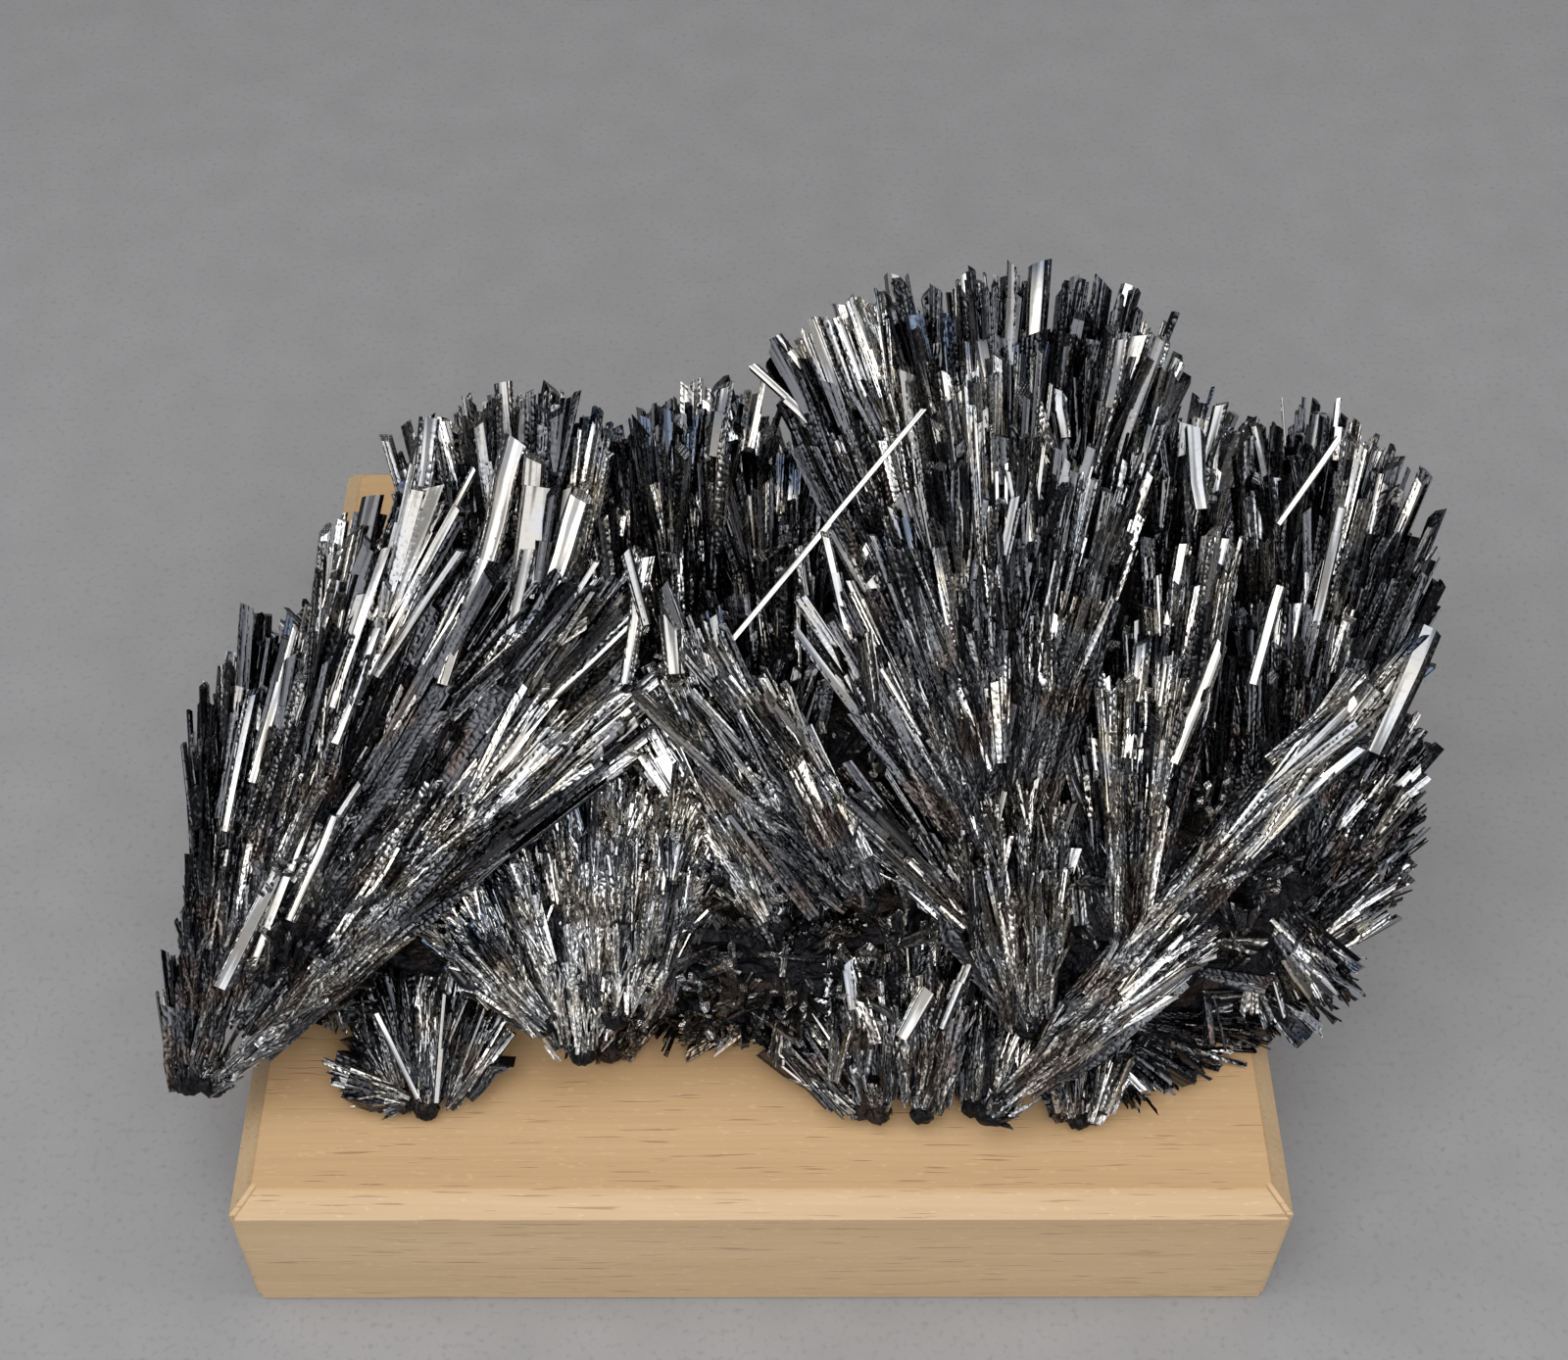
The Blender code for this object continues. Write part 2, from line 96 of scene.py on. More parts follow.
FANS = {
    "left": [
        ("left_edge", (-55, -38, 21.5), (-56, -30, 27), (-55, -26, 29), (-54, -21, 31), 3, "slabby"),
        ("left_rear", (-54, -39, 23), (-52.5, -11, 39), (-50, -3, 45), (-43, 1, 49), 11, "shadowed"),
        ("left_mid", (-53, -39, 24), (-40, 0, 54), (-35, 4, 59), (-28, 5, 60), 7, "bladed"),
        ("left_notch", (-53, -39, 24), (-38, 1, 55), (-36, 5, 58), (-32, 5, 59), 5, "shadowed"),
        ("left_back", (-40, -12, 24), (-42, 5, 33), (-36, 10, 36), (-31, 11, 40), 6, "shadowed"),
        ("left_high", (-52, -39, 24), (-26, 4, 58), (-16, -1, 57), (-10, -4, 55), 7, "bladed"),
        ("left_ridge", (-52, -40, 25), (-11, -8, 54), (-8, -12, 52), (-16, -17, 45), 5, "silvery"),
        ("left_inner", (-47, -33, 22), (-47, -11, 36), (-38, -4, 42), (-27, -8, 39), 13, "slabby"),
    ],
    "foot": [
        ("foot_left", (-32, -40, 20), (-41, -32, 24), (-33, -23, 26), (-22, -33, 23), 4, "needles"),
        ("foot_toe", (-33, -39, 21), (-41, -34, 22), (-41, -37, 21), (-37, -39, 20.5), 2.5, "needles"),
        ("fibre_fan", (-17, -37, 25), (-31, -28, 34), (-17, -16, 42), (-6, -20, 39), 7, "fibrous"),
        ("fibre_wing", (-20, -35, 27.5), (-32, -29, 34), (-30, -28, 35.5), (-26, -26, 37), 4, "fibrous"),
        ("fibre_dome", (-14, -35, 28), (-20, -20, 40), (-13, -17, 43), (-6, -22, 40), 5, "fibrous"),
        ("fibre_right", (-11, -34, 28), (-8, -18, 43), (-5, -22, 41), (-6, -28, 37), 4, "fibrous"),
        ("brown_root", (-15, -34, 20.5), (-22, -29, 21), (-13, -25, 22), (-8, -27, 21), 4, "tarnished"),
        ("brown_bundle", (1, -28, 22), (-9, -29, 21), (-8, -31, 20.5), (-5, -32, 20), 3, "tarnished"),
        ("needles", (10, -40, 20.5), (-2, -33, 23), (1, -30, 23), (6, -27, 24), 3, "needles"),
        ("foot_mid", (11, -41, 21), (6, -27, 31), (10, -24, 31), (16, -26, 32), 5, "crossing"),
        ("foot_mid_right", (15, -41, 21), (12, -29, 31), (17, -24, 32), (21, -31, 31), 5, "crossing"),
        ("foot_slot", (20, -40, 20.5), (18, -32, 25), (22, -25, 28), (27, -32, 24), 4, "needles"),
        ("foot_right", (30, -41, 20), (26, -37, 22), (31, -33, 24), (36, -36, 22), 4, "slabby"),
        ("slot_mid", (1, -28, 20.5), (-8, -22, 25), (-2, -16, 28), (7, -21, 26), 6, "slabby"),
    ],
    "centre": [
        ("centre_left", (2, -29, 35), (-12, -16, 41), (-9, -6, 52), (-7, -8, 52), 6, "silvery"),
        ("centre_ridge", (10, -28, 37), (-8, -17, 43), (-7, -8, 53), (2, -12, 48), 6, "bladed"),
        ("centre_inner", (-1, -15, 37), (-3, -5, 44), (2, -4, 48), (4, -7, 44), 5, "shadowed"),
        ("centre_neck", (4, -12, 26), (-1, -26, 38), (5, -28, 38), (11, -26, 40), 6, "stem"),
        ("gap_back", (1, -10, 28), (-6, 10, 46), (-1, 16, 52), (7, 16, 52), 9, "shadowed"),
        ("gap_mid", (2, -16, 30), (-6, 0, 46), (1, 6, 50), (7, 3, 48), 8, "shadowed"),
        ("gap_low", (1, -22, 24), (-9, -15, 34), (-2, -11, 38), (6, -15, 36), 8, "shadowed"),
    ],
    "main": [
        ("main_trunk", (25, -36, 28), (16, -25, 39), (22, -18, 44), (29, -21, 41), 7, "stem"),
        ("trunk_right", (30, -32, 22), (29, -21, 32), (33, -19, 34), (38, -21, 32), 6, "shadowed"),
        ("main_wing", (24, -32, 32), (7, -17, 44), (9, -20, 44), (12, -23, 40), 5, "bladed"),
        ("main_left", (22, -25, 38), (5, -8, 54), (9, -1, 58), (15, 8, 65), 7, "bladed"),
        ("main_top", (23, -25, 38), (15, 8, 65), (21, 14, 70), (27, 12, 68), 7, "bladed"),
        ("main_right", (23, -24, 38), (27, 11, 66), (30, 5, 63), (35, 0, 59), 7, "bladed"),
        ("cleft", (33, -29, 33), (28, -17, 44), (29, -13, 47), (31, -14, 45), 4, "shadowed"),
    ],
    "right": [
        ("right_fan", (34, -34, 29), (32, -13, 49), (36, -7, 54), (45, 2, 61), 7, "silvery"),
        ("right_inner", (41, -27, 26), (37, -8, 43), (44, -5, 46), (50, -9, 41), 8, "shadowed"),
        ("long_blade", (20.5, -42, 23), (58.5, -10.5, 56), (60, -10, 57), (61, -12.5, 54.5), 3, "silvery"),
        ("blade_root", (21, -42, 23), (41, -29, 39), (42, -30, 38), (42, -32, 36), 4, "stem"),
        ("right_dark", (48, -23, 33), (41, -2, 48), (50, -1, 52), (59, -3, 49), 7, "shadowed"),
        ("right_low", (45, -29, 24), (50, -18, 33), (58, -17, 35), (61, -22, 28), 8, "slabby"),
        ("right_edge", (50, -26, 29), (57, -11, 44), (63.5, -10.5, 41), (60, -24, 31), 7, "slabby"),
        ("low_spur", (48, -24, 33), (52, -30, 28), (55, -31, 27), (57, -28, 28), 4, "slabby"),
        ("fringe", (32, -32, 24), (34, -38, 20.5), (41, -36, 20.5), (53, -30, 21), 5, "slabby"),
        ("fringe_right", (44, -25, 28), (49, -31, 20.5), (55, -29, 21), (60, -23, 25), 5, "slabby"),
    ],
    "crest": [
        ("back_left", (-25, -16, 25), (-37, 13, 53), (-26, 19, 59), (-14, 18, 55), 9, "bladed"),
        ("back_mid", (-9, -12, 25), (-18, 17, 52), (-10, 19, 56), (-1, 20, 59), 9, "shadowed"),
        ("top_left", (21, -9, 38), (-1, 20, 61), (8, 25, 65), (15, 27, 66), 9, "stout"),
        ("top_mid", (23, -9, 38), (14, 27, 66), (20, 27, 67), (27, 28, 68), 9, "stout"),
        ("top_right", (27, -10, 37), (28, 28, 68), (36, 26, 66), (41, 20, 60), 9, "stout"),
        ("right_top", (39, -16, 32), (37, 14, 57), (41, 16, 60), (45, 17, 60), 7, "bladed"),
        ("right_back", (49, -17, 29), (47, 16, 56), (52, 18, 56), (58, 18, 59), 8, "shadowed"),
        ("far_right", (51, -19, 29), (57, 17, 59), (64, 11, 55), (66, 1, 46), 10, "shadowed"),
    ],
    "rear": [
        ("rear_left", (-22, -6, 25), (-37, 24, 36), (-29, 31, 40), (-20, 34, 38), 11, "bladed"),
        ("rear_mid_left", (-8, -4, 26), (-19, 34, 38), (-9, 38, 39), (2, 39, 41), 11, "bladed"),
        ("rear_mid", (15, -2, 28), (2, 39, 43), (16, 42, 47), (30, 43, 48), 12, "bladed"),
        ("rear_right", (35, -4, 28), (30, 42, 47), (45, 37, 40), (57, 27, 42), 12, "bladed"),
    ],
    "skirt": [
        ("rear_low_left", (-15, -2, 23), (-38, 27, 27), (-31, 35, 27), (-16, 41, 28), 8, "bladed"),
        ("rear_low_mid", (10, 0, 23), (-12, 43, 27), (9, 45, 30), (28, 44, 29), 9, "bladed"),
        ("rear_low_right", (32, -2, 23), (30, 43, 28), (47, 36, 28), (60, 20, 28), 9, "bladed"),
        ("left_side", (-24, -16, 24), (-55, -9, 31), (-54, 4, 33), (-47, 13, 34), 9, "slabby"),
        ("right_side", (40, -10, 26), (60, 17, 39), (66, 4, 36), (62, -12, 30), 9, "slabby"),
    ],
}
REGIONS = tuple(FANS)

# How the crystals of each habit look: millimetres between tufts, a crystal's width, the
# crystals in a tuft, how far their directions spread, the shortest and longest crystals, the
# crust of tiny crystals to a square millimetre, how far up it goes, the darkest tone, and the
# outline of the crystals.
Habit = namedtuple("Habit", "pitch width crystals spread shortest longest crust crust_reach tone prism")

HABITS = {
    "bladed": Habit(2.5, 1.10, 5, 0.15, 7, 15, 2.0, 0.50, -0.15, "tuft"),
    "silvery": Habit(2.3, 1.00, 5, 0.09, 7, 14, 3.0, 0.60, 0.2, "tuft"),
    "stout": Habit(2.6, 1.25, 5, 0.10, 8, 15, 1.5, 0.45, -0.9, "tuft"),
    # The shadowed habit is darker: painted shade on fans in the gaps, deep inside and at the back.
    "shadowed": Habit(2.5, 1.10, 5, 0.14, 7, 15, 2.0, 0.50, -0.5, "tuft"),
    "slabby": Habit(2.3, 1.10, 5, 0.13, 4, 9, 2.4, 0.80, -0.5, "tuft"),
    "crossing": Habit(2.7, 1.10, 4, 0.34, 5, 9, 2.0, 0.60, 0.1, "tuft"),
    "stem": Habit(2.0, 0.95, 3, 0.07, 4, 9, 4.0, 0.90, 0.2, "needle"),
    "fibrous": Habit(1.8, 0.75, 5, 0.10, 3, 8, 3.1, 0.85, 0.85, "needle"),
    "tarnished": Habit(1.6, 0.95, 5, 0.10, 4, 8, 1.0, 0.50, 0.2, "needle"),
    "needles": Habit(1.9, 0.52, 4, 0.16, 6, 12, 1.5, 0.50, 0.3, "needle"),
}

# The outline of a crystal: its sides, its rings of points, its width at the foot over that at
# the tip, how much its end face slants, how crooked it is, and the share that are stepped.
Prism = namedtuple("Prism", "sides rings taper slant crook stepped")

PRISMS = {
    "tuft": Prism(4, 4, 0.80, 0.35, 0.01, 0.4),
    "needle": Prism(4, 3, 0.80, 0.50, 0.00, 0.0),
    "crust": Prism(3, 2, 0.80, 0.50, 0.00, 0.0),
    "core": Prism(4, 4, 0.50, 0.35, 0.10, 0.0),
    "bristle": Prism(4, 2, 0.80, 0.50, 0.00, 0.0),
    "lone": Prism(6, 4, 0.85, 0.30, 0.03, 0.3),
}

# The matted middle, in millimetres, and the small tufts that stand on it
Lump = namedtuple("Lump", "centre radii tufts")

LUMPS = [
    Lump((5, 3, 24), (43, 26, 16), 700),
    Lump((-30, -13, 25), (22, 15, 11), 350),
    Lump((-3, -16, 26), (29, 16, 12), 1250),
    Lump((34, -15, 27), (25, 17, 13), 450),
    Lump((-44, -21, 29), (9, 12, 9), 100),
]

# No tuft on it stands further left or right than this
HEART_EDGES = (-47 * MM, 51 * MM)

# Crystals that stand out from their sheaf, in millimetres: foot, tip and width
LONE_CRYSTALS = [
    ((-8, -13, 49), (15, 9, 66), 0.75),
    ((-44, -18, 40), (-41, 2, 57), 2.2),
    ((-25, 0, 41), (-24, 11, 60), 2.2),
    # on the left-hand sheaf
    ((-21.1, -5.1, 55.9), (-19.8, 1.1, 63.2), 1.9),
    ((-19.5, -3.0, 56.3), (-18.3, 1.8, 62.5), 1.5),
    ((-38.8, -5.0, 53.4), (-36.7, 3.4, 60.0), 2.3),
    ((-47.3, -31.7, 33.8), (-40.7, -18.3, 45.5), 1.3),
    ((-43.6, -25.6, 38.5), (-37.5, -19.1, 45.0), 1.0),
    ((-36.0, -10.6, 50.3), (-28.2, -1.9, 58.4), 1.2),
    ((-38.2, -12.7, 48.7), (-27.2, 5.3, 61.5), 1.0),
    ((-12.7, -4.0, 56.8), (-11.5, -2.8, 59.0), 1.6),
    ((-7.9, -9.1, 55.4), (-9.3, -6.7, 58.5), 1.7),
    # along the back
    ((-34.2, 4.4, 57.1), (-31.9, 11.5, 62.6), 1.6),
    ((-24.7, 12.4, 55.8), (-25.5, 18.4, 60.5), 1.9),
    ((-23.5, 10.9, 55.9), (-23.2, 15.4, 59.4), 1.7),
    ((-2.8, 14.7, 56.3), (-4.3, 19.1, 59.7), 2.4),
    ((8.9, 14.7, 57.6), (1.3, 22.1, 63.3), 1.5),
    ((6.7, 13.3, 57.7), (-1.1, 18.8, 62.0), 1.5),
    ((33.2, 20.1, 61.9), (35.8, 26.0, 66.5), 1.5),
    ((26.6, 20.1, 61.8), (27.0, 27.8, 67.9), 2.4),
    ((20.2, 20.1, 61.8), (19.7, 26.8, 67.1), 2.0),
    ((14.0, 20.8, 61.1), (12.8, 27.2, 66.1), 2.2),
    ((9.7, 19.3, 59.9), (7.6, 25.3, 64.7), 1.8),
    ((43.9, 11.0, 56.0), (44.7, 16.1, 60.0), 1.0),
    ((50.0, 9.4, 52.3), (48.2, 16.0, 57.5), 1.2),
    ((56.0, 12.5, 56.0), (56.6, 17.0, 59.6), 1.4),
    # on the great fan and to its right
    ((4.8, -7.7, 51.4), (3.5, -0.5, 57.0), 1.3),
    ((11.5, -7.0, 51.9), (6.5, 0.6, 57.9), 1.0),
    ((11.4, -15.1, 48.1), (6.4, -11.2, 51.2), 1.2),
    ((18.7, -19.0, 45.0), (14.2, -11.2, 51.2), 1.0),
    ((21.5, 12.0, 65.5), (20.7, 15.7, 68.3), 1.5),
    ((24.5, -0.4, 57.0), (24.0, 8.3, 63.9), 1.4),
    ((27.5, -0.4, 57.0), (27.2, 10.5, 65.6), 1.2),
    ((28.4, -6.9, 53.3), (29.8, 0.0, 58.6), 1.3),
    ((34.7, -17.2, 46.4), (35.0, -8.6, 53.2), 1.8),
    ((39.7, -16.1, 47.3), (42.3, -8.9, 52.9), 1.3),
    ((41.1, 2.6, 59.3), (40.5, 8.4, 63.9), 2.0),
    ((54.9, -16.9, 51.5), (60.1, -10.1, 56.7), 1.6),
    ((48.9, 2.8, 57.1), (54.4, 8.6, 62.7), 0.7),
    ((49.4, -27.7, 31.9), (54.5, -31.0, 28.2), 1.8),
]

# The broadest and brightest ones, in the same way
BROAD_BLADES = [
    ((-22.3, -4.9, 54.8), (-20.5, 4.3, 64.1), 3.6),
    ((-19.6, -4.0, 55.5), (-17.2, 1.8, 62.1), 3.1),
    ((-25.8, -1.5, 56.2), (-23.2, 6.3, 64.4), 3.0),
    ((-23.5, -8.3, 53.4), (-21.8, -2.9, 59.7), 1.7),
    ((-33.0, 0.9, 55.6), (-31.5, 9.5, 64.4), 2.0),
    ((-49.9, -33.5, 32.4), (-40.9, -18.7, 46.0), 2.1),
    ((-43.5, -29.1, 37.1), (-39.3, -22.2, 44.6), 1.3),
    ((-4.8, 12.6, 55.9), (-3.6, 17.1, 61.5), 2.1),
    ((33.8, -17.8, 47.2), (34.8, -10.2, 55.2), 1.8),
    ((37.9, -18.1, 46.9), (42.1, -10.2, 55.2), 1.5),
    ((23.9, -2.8, 57.7), (25.2, 3.7, 64.9), 1.3),
    ((41.8, 6.5, 57.5), (43.6, 12.1, 63.9), 1.5),
    ((20.8, 12.8, 62.4), (21.0, 16.7, 67.5), 1.6),
    ((17.8, 9.1, 62.0), (17.0, 12.8, 66.9), 1.3),
    ((8.1, -8.0, 52.5), (5.8, -1.1, 59.9), 1.3),
    ((11.5, -6.9, 53.3), (6.4, -1.1, 59.9), 1.3),
    ((13.0, -36.6, 28.8), (15.2, -34.0, 32.9), 1.8),
    ((8.4, -34.0, 29.6), (7.7, -31.3, 33.8), 1.3),
    ((16.8, -35.4, 28.5), (19.0, -31.6, 33.5), 1.3),
    ((-30.4, -40.8, 24.2), (-29.8, -32.9, 31.2), 0.8),
    ((-32.1, -40.5, 24.5), (-36.2, -34.4, 30.1), 0.7),
    ((46.5, -22.4, 43.5), (54.8, -18.2, 50.0), 1.8),
    ((55.8, -19.1, 49.7), (60.4, -11.2, 57.9), 2.3),
    ((-12.7, -12.5, 51.4), (-10.9, -3.6, 59.2), 1.6),
    ((-10.8, -8.9, 55.5), (-12.7, -3.9, 60.2), 1.3),
    ((-50.2, -20.9, 39.8), (-47.8, -10.8, 48.5), 1.5),
    ((-47.5, -17.9, 43.4), (-43.7, -6.7, 52.9), 1.3),
    ((-29.7, -11.3, 49.8), (-25.7, -1.5, 58.3), 1.3),
    ((-39.7, -15.6, 46.4), (-34.4, -3.7, 56.5), 1.3),
    ((-8.1, -11.8, 52.0), (-8.7, -7.3, 57.6), 2.3),
    ((32.5, 10.0, 65.1), (33.7, 14.9, 69.7), 1.5),
    ((28.3, 7.7, 63.4), (27.5, 9.9, 67.2), 1.6),
    ((37.8, -6.8, 53.3), (39.2, -1.4, 58.3), 1.5),
    ((46.3, -9.2, 47.6), (48.7, -2.3, 53.9), 1.5),
    ((52.9, -3.5, 49.6), (55.3, 5.0, 57.1), 1.3),
]
# The broad faces of both turn towards this point, high up in front
FACED = np.array((-17, -171, 299)) * MM

# The lights, in metres: name, place, size and the setting with the power. They face LIT_POINT.
LIGHTS = [
    ("key", (-0.05, -0.21, 0.46), 0.6, "key_power"),
    ("side_left", (-0.5, -0.05, 0.36), 0.24, "side_power"),
    ("side_right", (0.5, -0.1, 0.36), 0.24, "side_power"),
    ("back", (0.06, 0.42, 0.4), 0.3, "back_power"),
    ("front", (0.05, -0.5, 0.2), 0.3, "front_power"),
]
LIT_POINT = (0, 0, 0.04)
ROOM_COLOUR = (0.09, 0.09, 0.094, 1)
FLOOR_DROP = 0.2 * MM
FLOOR_HALF_SIZE = 3

# Camera: the point it looks at and its distance in millimetres, then degrees and lens
CAMERA_TARGET = (2.68, 30.81, 0.0)
CAMERA_DISTANCE = 277.96
CAMERA_AZIMUTH = -1.087
CAMERA_ELEVATION = 50.325
CAMERA_ROLL = 0.9486
CAMERA_LENS = 52.377


# ---------------------------------------------------------------- fans

def unit(vectors):
    """These vectors at a length of 1."""
    return vectors / np.maximum(np.linalg.norm(vectors, axis=-1, keepdims=True), 1e-12)


def column(values):
    """These values with one more axis, so that each of them scales a vector."""
    return np.asarray(values)[..., None]


def curve_of_tips(fan, across):
    """Points on the line of tips, from the left (0) over the middle (0.5) to the right (1)."""
    across = column(np.atleast_1d(across))
    left, middle, right = (np.array(corner, float) for corner in (fan.left, fan.middle, fan.right))
    weight_left = (1 - across) * (1 - 2 * across)
    weight_middle = 4 * across * (1 - across)
    weight_right = across * (2 * across - 1)
    return (left * weight_left + middle * weight_middle + right * weight_right) * MM


class Sheaf:
    """A fan's root, its directions and sizes, and the ridges that its crystals are grouped in."""

    def __init__(self, fan, dice):
        self.fan = fan
        self.root = np.array(fan.root) * MM
        line = curve_of_tips(fan, np.linspace(0, 1, 9))
        self.middle = line[4]
        self.across = unit(line[-1] - line[0])
        self.square = unit(np.cross(self.across, line[4] - self.root))
        self.breadth = np.linalg.norm(np.diff(line, axis=0), axis=1).sum()
        self.length = np.linalg.norm(line[4] - self.root)
        self.half_thickness = fan.thickness * MM / 2
        self.ridges = max(1, round(self.breadth / RIDGE_PITCH))
        self.ridge_reach = 1 - dice.uniform(0, 0.045, self.ridges)
        self.ridge_tone = dice.normal(0, 0.3, self.ridges)

    def ridge_at(self, where):
        """The number of the ridge at each of these places across the sheaf."""
        return np.minimum((where * self.ridges).astype(int), self.ridges - 1)

    def tone_at(self, where):
        return self.ridge_tone[self.ridge_at(where)]

    def lines(self, where, level, ridged=True):
        """Start and end points of lines at these places across and through the sheaf."""
        ridge = self.ridge_at(where)
        height = level
        if ridged:
            off = where * self.ridges - ridge - 0.5
            where = (ridge + 0.5 + off * RIDGE_SQUEEZE) / self.ridges
            height = level * (VALLEY + (RIDGE - VALLEY) * np.cos(math.pi * off))
        bulge = THIN_EDGE + (1 - THIN_EDGE) * np.sin(math.pi * where)
        start = (self.root + self.across * column((2 * where - 1) * ROOT_HALF_WIDTH)
                 + self.square * column(level * ROOT_HALF_THICKNESS))
        tip = curve_of_tips(self.fan, where) + self.square * column(height * bulge * self.half_thickness)
        return start, start + (tip - start) * column(self.ridge_reach[ridge])

    def grid(self, pitch, dice):
        """Places across and through the sheaf, about one for each square of this pitch."""
        columns = max(3, round(self.breadth / pitch))
        layers = max(2, round(self.fan.thickness * MM / pitch))
        count = columns * layers
        place, layer = np.divmod(np.arange(count), layers)
        where = (place + dice.uniform(0, 1, count)) / columns
        level = -1 + (2 * layer + dice.uniform(0.2, 1.8, count)) / layers
        return where, level

    def turned(self, ways, dice):
        """Directions square to these ones, each turned round them by a random angle."""
        turn = dice.uniform(0, math.tau, len(ways))
        side = unit(np.cross(self.square, ways))
        return self.square * column(np.cos(turn)) + side * column(np.sin(turn))


# ---------------------------------------------------------------- crystals as meshes

class Laths:
    """A growing list of straight crystals, one row each. The stain is added to their tones."""

    def __init__(self):
        self.rows = []
        self.stain = 0

    def add(self, foot, tip, width, flat, facing, tone, reach_foot, reach_tip):
        count = len(foot)
        row = [foot, tip, width, flat, np.broadcast_to(facing, (count, 3)), tone + self.stain,
               reach_foot, reach_tip]
        self.rows.append(np.column_stack(row))

    def table(self):
        return np.concatenate(self.rows)


def ring_places(count, prism, dice):
    """How far along each crystal its rings stand, how wide they are, and any step's shift."""
    part = np.tile(np.linspace(0, 1, prism.rings), (count, 1))
    thinner = np.ones(count)
    if prism.stepped:
        step = dice.uniform(0.45, 0.9, count)
        stepped = dice.random(count) < prism.stepped
        thinner = np.where(stepped, dice.uniform(0.55, 0.9, count), 1)
        part[stepped, 1] = step[stepped]
        part[stepped, 2] = step[stepped] + STEP_RISE
    size = prism.taper + (1 - prism.taper) * np.minimum(part / TAPERED, 1)
    size[:, 2:] *= column(thinner)
    shift = np.zeros((count, prism.rings))
    shift[:, 2:] = column((1 - thinner) * 0.42)
    return part, size, shift


def lath_points(table, prism, dice):
    """The corners of every crystal, their angles round it, and how far along its rings are."""
    sides, rings = prism.sides, prism.rings
    foot, tip = table[:, 0:3], table[:, 3:6]
    width, flat, facing = table[:, 6], table[:, 7], table[:, 8:11]
    count = len(table)
    axis = unit(tip - foot)
    side = unit(np.cross(facing, axis))
    lift = np.cross(axis, side)
    part, size, shift = ring_places(count, prism, dice)

    # a flat face looks along "lift": two corners stand level on either side of it
    first_corner = math.pi / 2 - math.pi / sides
    wander = dice.uniform(-0.2, 0.2, (count, sides))
    angle = first_corner + (np.arange(sides) + wander) * math.tau / sides
    radius = 0.5 * dice.uniform(0.85, 1.05, (count, sides))
    out = (side[:, None] * column(np.cos(angle) * radius * column(width))
           + lift[:, None] * column(np.sin(angle) * radius * column(width * flat)))
    tilt = dice.uniform(-1, 1, (count, 2)) * prism.slant
    rise = (np.cos(angle) * tilt[:, :1] + np.sin(angle) * tilt[:, 1:]) * column(width)
    turn = dice.uniform(0, math.tau, count)
    shift_way = side * column(np.cos(turn)) + lift * column(np.sin(turn) * flat)
    crook = dice.normal(0, prism.crook, (2, count, rings)) * column(width)
    middle = (foot[:, None] + (tip - foot)[:, None] * column(part)
              + side[:, None] * column(crook[0]) + lift[:, None] * column(crook[1])
              + shift_way[:, None] * column(shift * column(width)))
    points = middle[:, :, None] + out[:, None] * size[:, :, None, None]
    points[:, -1] += axis[:, None] * column(rise)
    points = points.reshape(-1, 3)
    over_block = ((np.abs(points[:, 0]) < BLOCK_HIGH[0] + REST_GAP)
                  & (np.abs(points[:, 1]) < BLOCK_HIGH[1] + REST_GAP))
    points[over_block, 2] = np.maximum(points[over_block, 2], FOOT_PLANE)
    return points, angle, part


def lath_faces(count, prism):
    """The corner numbers of every face, and the number of corners that each face has."""
    sides, rings = prism.sides, prism.rings
    first = np.arange(count)[:, None] * rings * sides
    base = first[:, None] + np.arange(rings - 1)[:, None] * sides
    ring = np.arange(sides)
    following = (ring + 1) % sides
    quads = np.stack([base + ring, base + following, base + sides + following, base + sides + ring],
                     axis=3)
    ends = np.stack([first + ring[::-1], first + (rings - 1) * sides + ring], axis=1)
    loops = np.concatenate([quads.reshape(count, -1), ends.reshape(count, -1)], axis=1).ravel()
    sizes = np.tile([4] * sides * (rings - 1) + [sides] * 2, count)
    return loops, sizes


def grain_map(table, prism, angle, part, dice):
    """Millimetres round every crystal and along it, from a place of its own."""
    sides, rings = prism.sides, prism.rings
    width, flat = table[:, 6], table[:, 7]
    count = len(table)
    length = np.linalg.norm(table[:, 3:6] - table[:, 0:3], axis=1)
    girth = width / MM * (1 + flat)
    corner = dice.uniform(0, GRAIN_SPREAD, (count, 2))
    around = corner[:, :1] + np.arange(sides + 1) / sides * column(girth)
    height = corner[:, 1:] + part * column(length) / MM
    corners = []
    for turn, level in ((0, 0), (1, 0), (1, 1), (0, 1)):
        u = around[:, None, turn:sides + turn]
        v = height[:, level:rings - 1 + level, None]
        corners.append(np.stack(np.broadcast_arrays(u, v), axis=3))
    uv_sides = np.stack(corners, axis=3)
    cap = np.stack([np.cos(angle), np.sin(angle)], axis=2) * (width / MM)[:, None, None]
    uv_ends = np.stack([cap[:, ::-1], cap], axis=1) + corner[:, None, None]
    return np.concatenate([uv_sides.reshape(count, -1), uv_ends.reshape(count, -1)], axis=1)


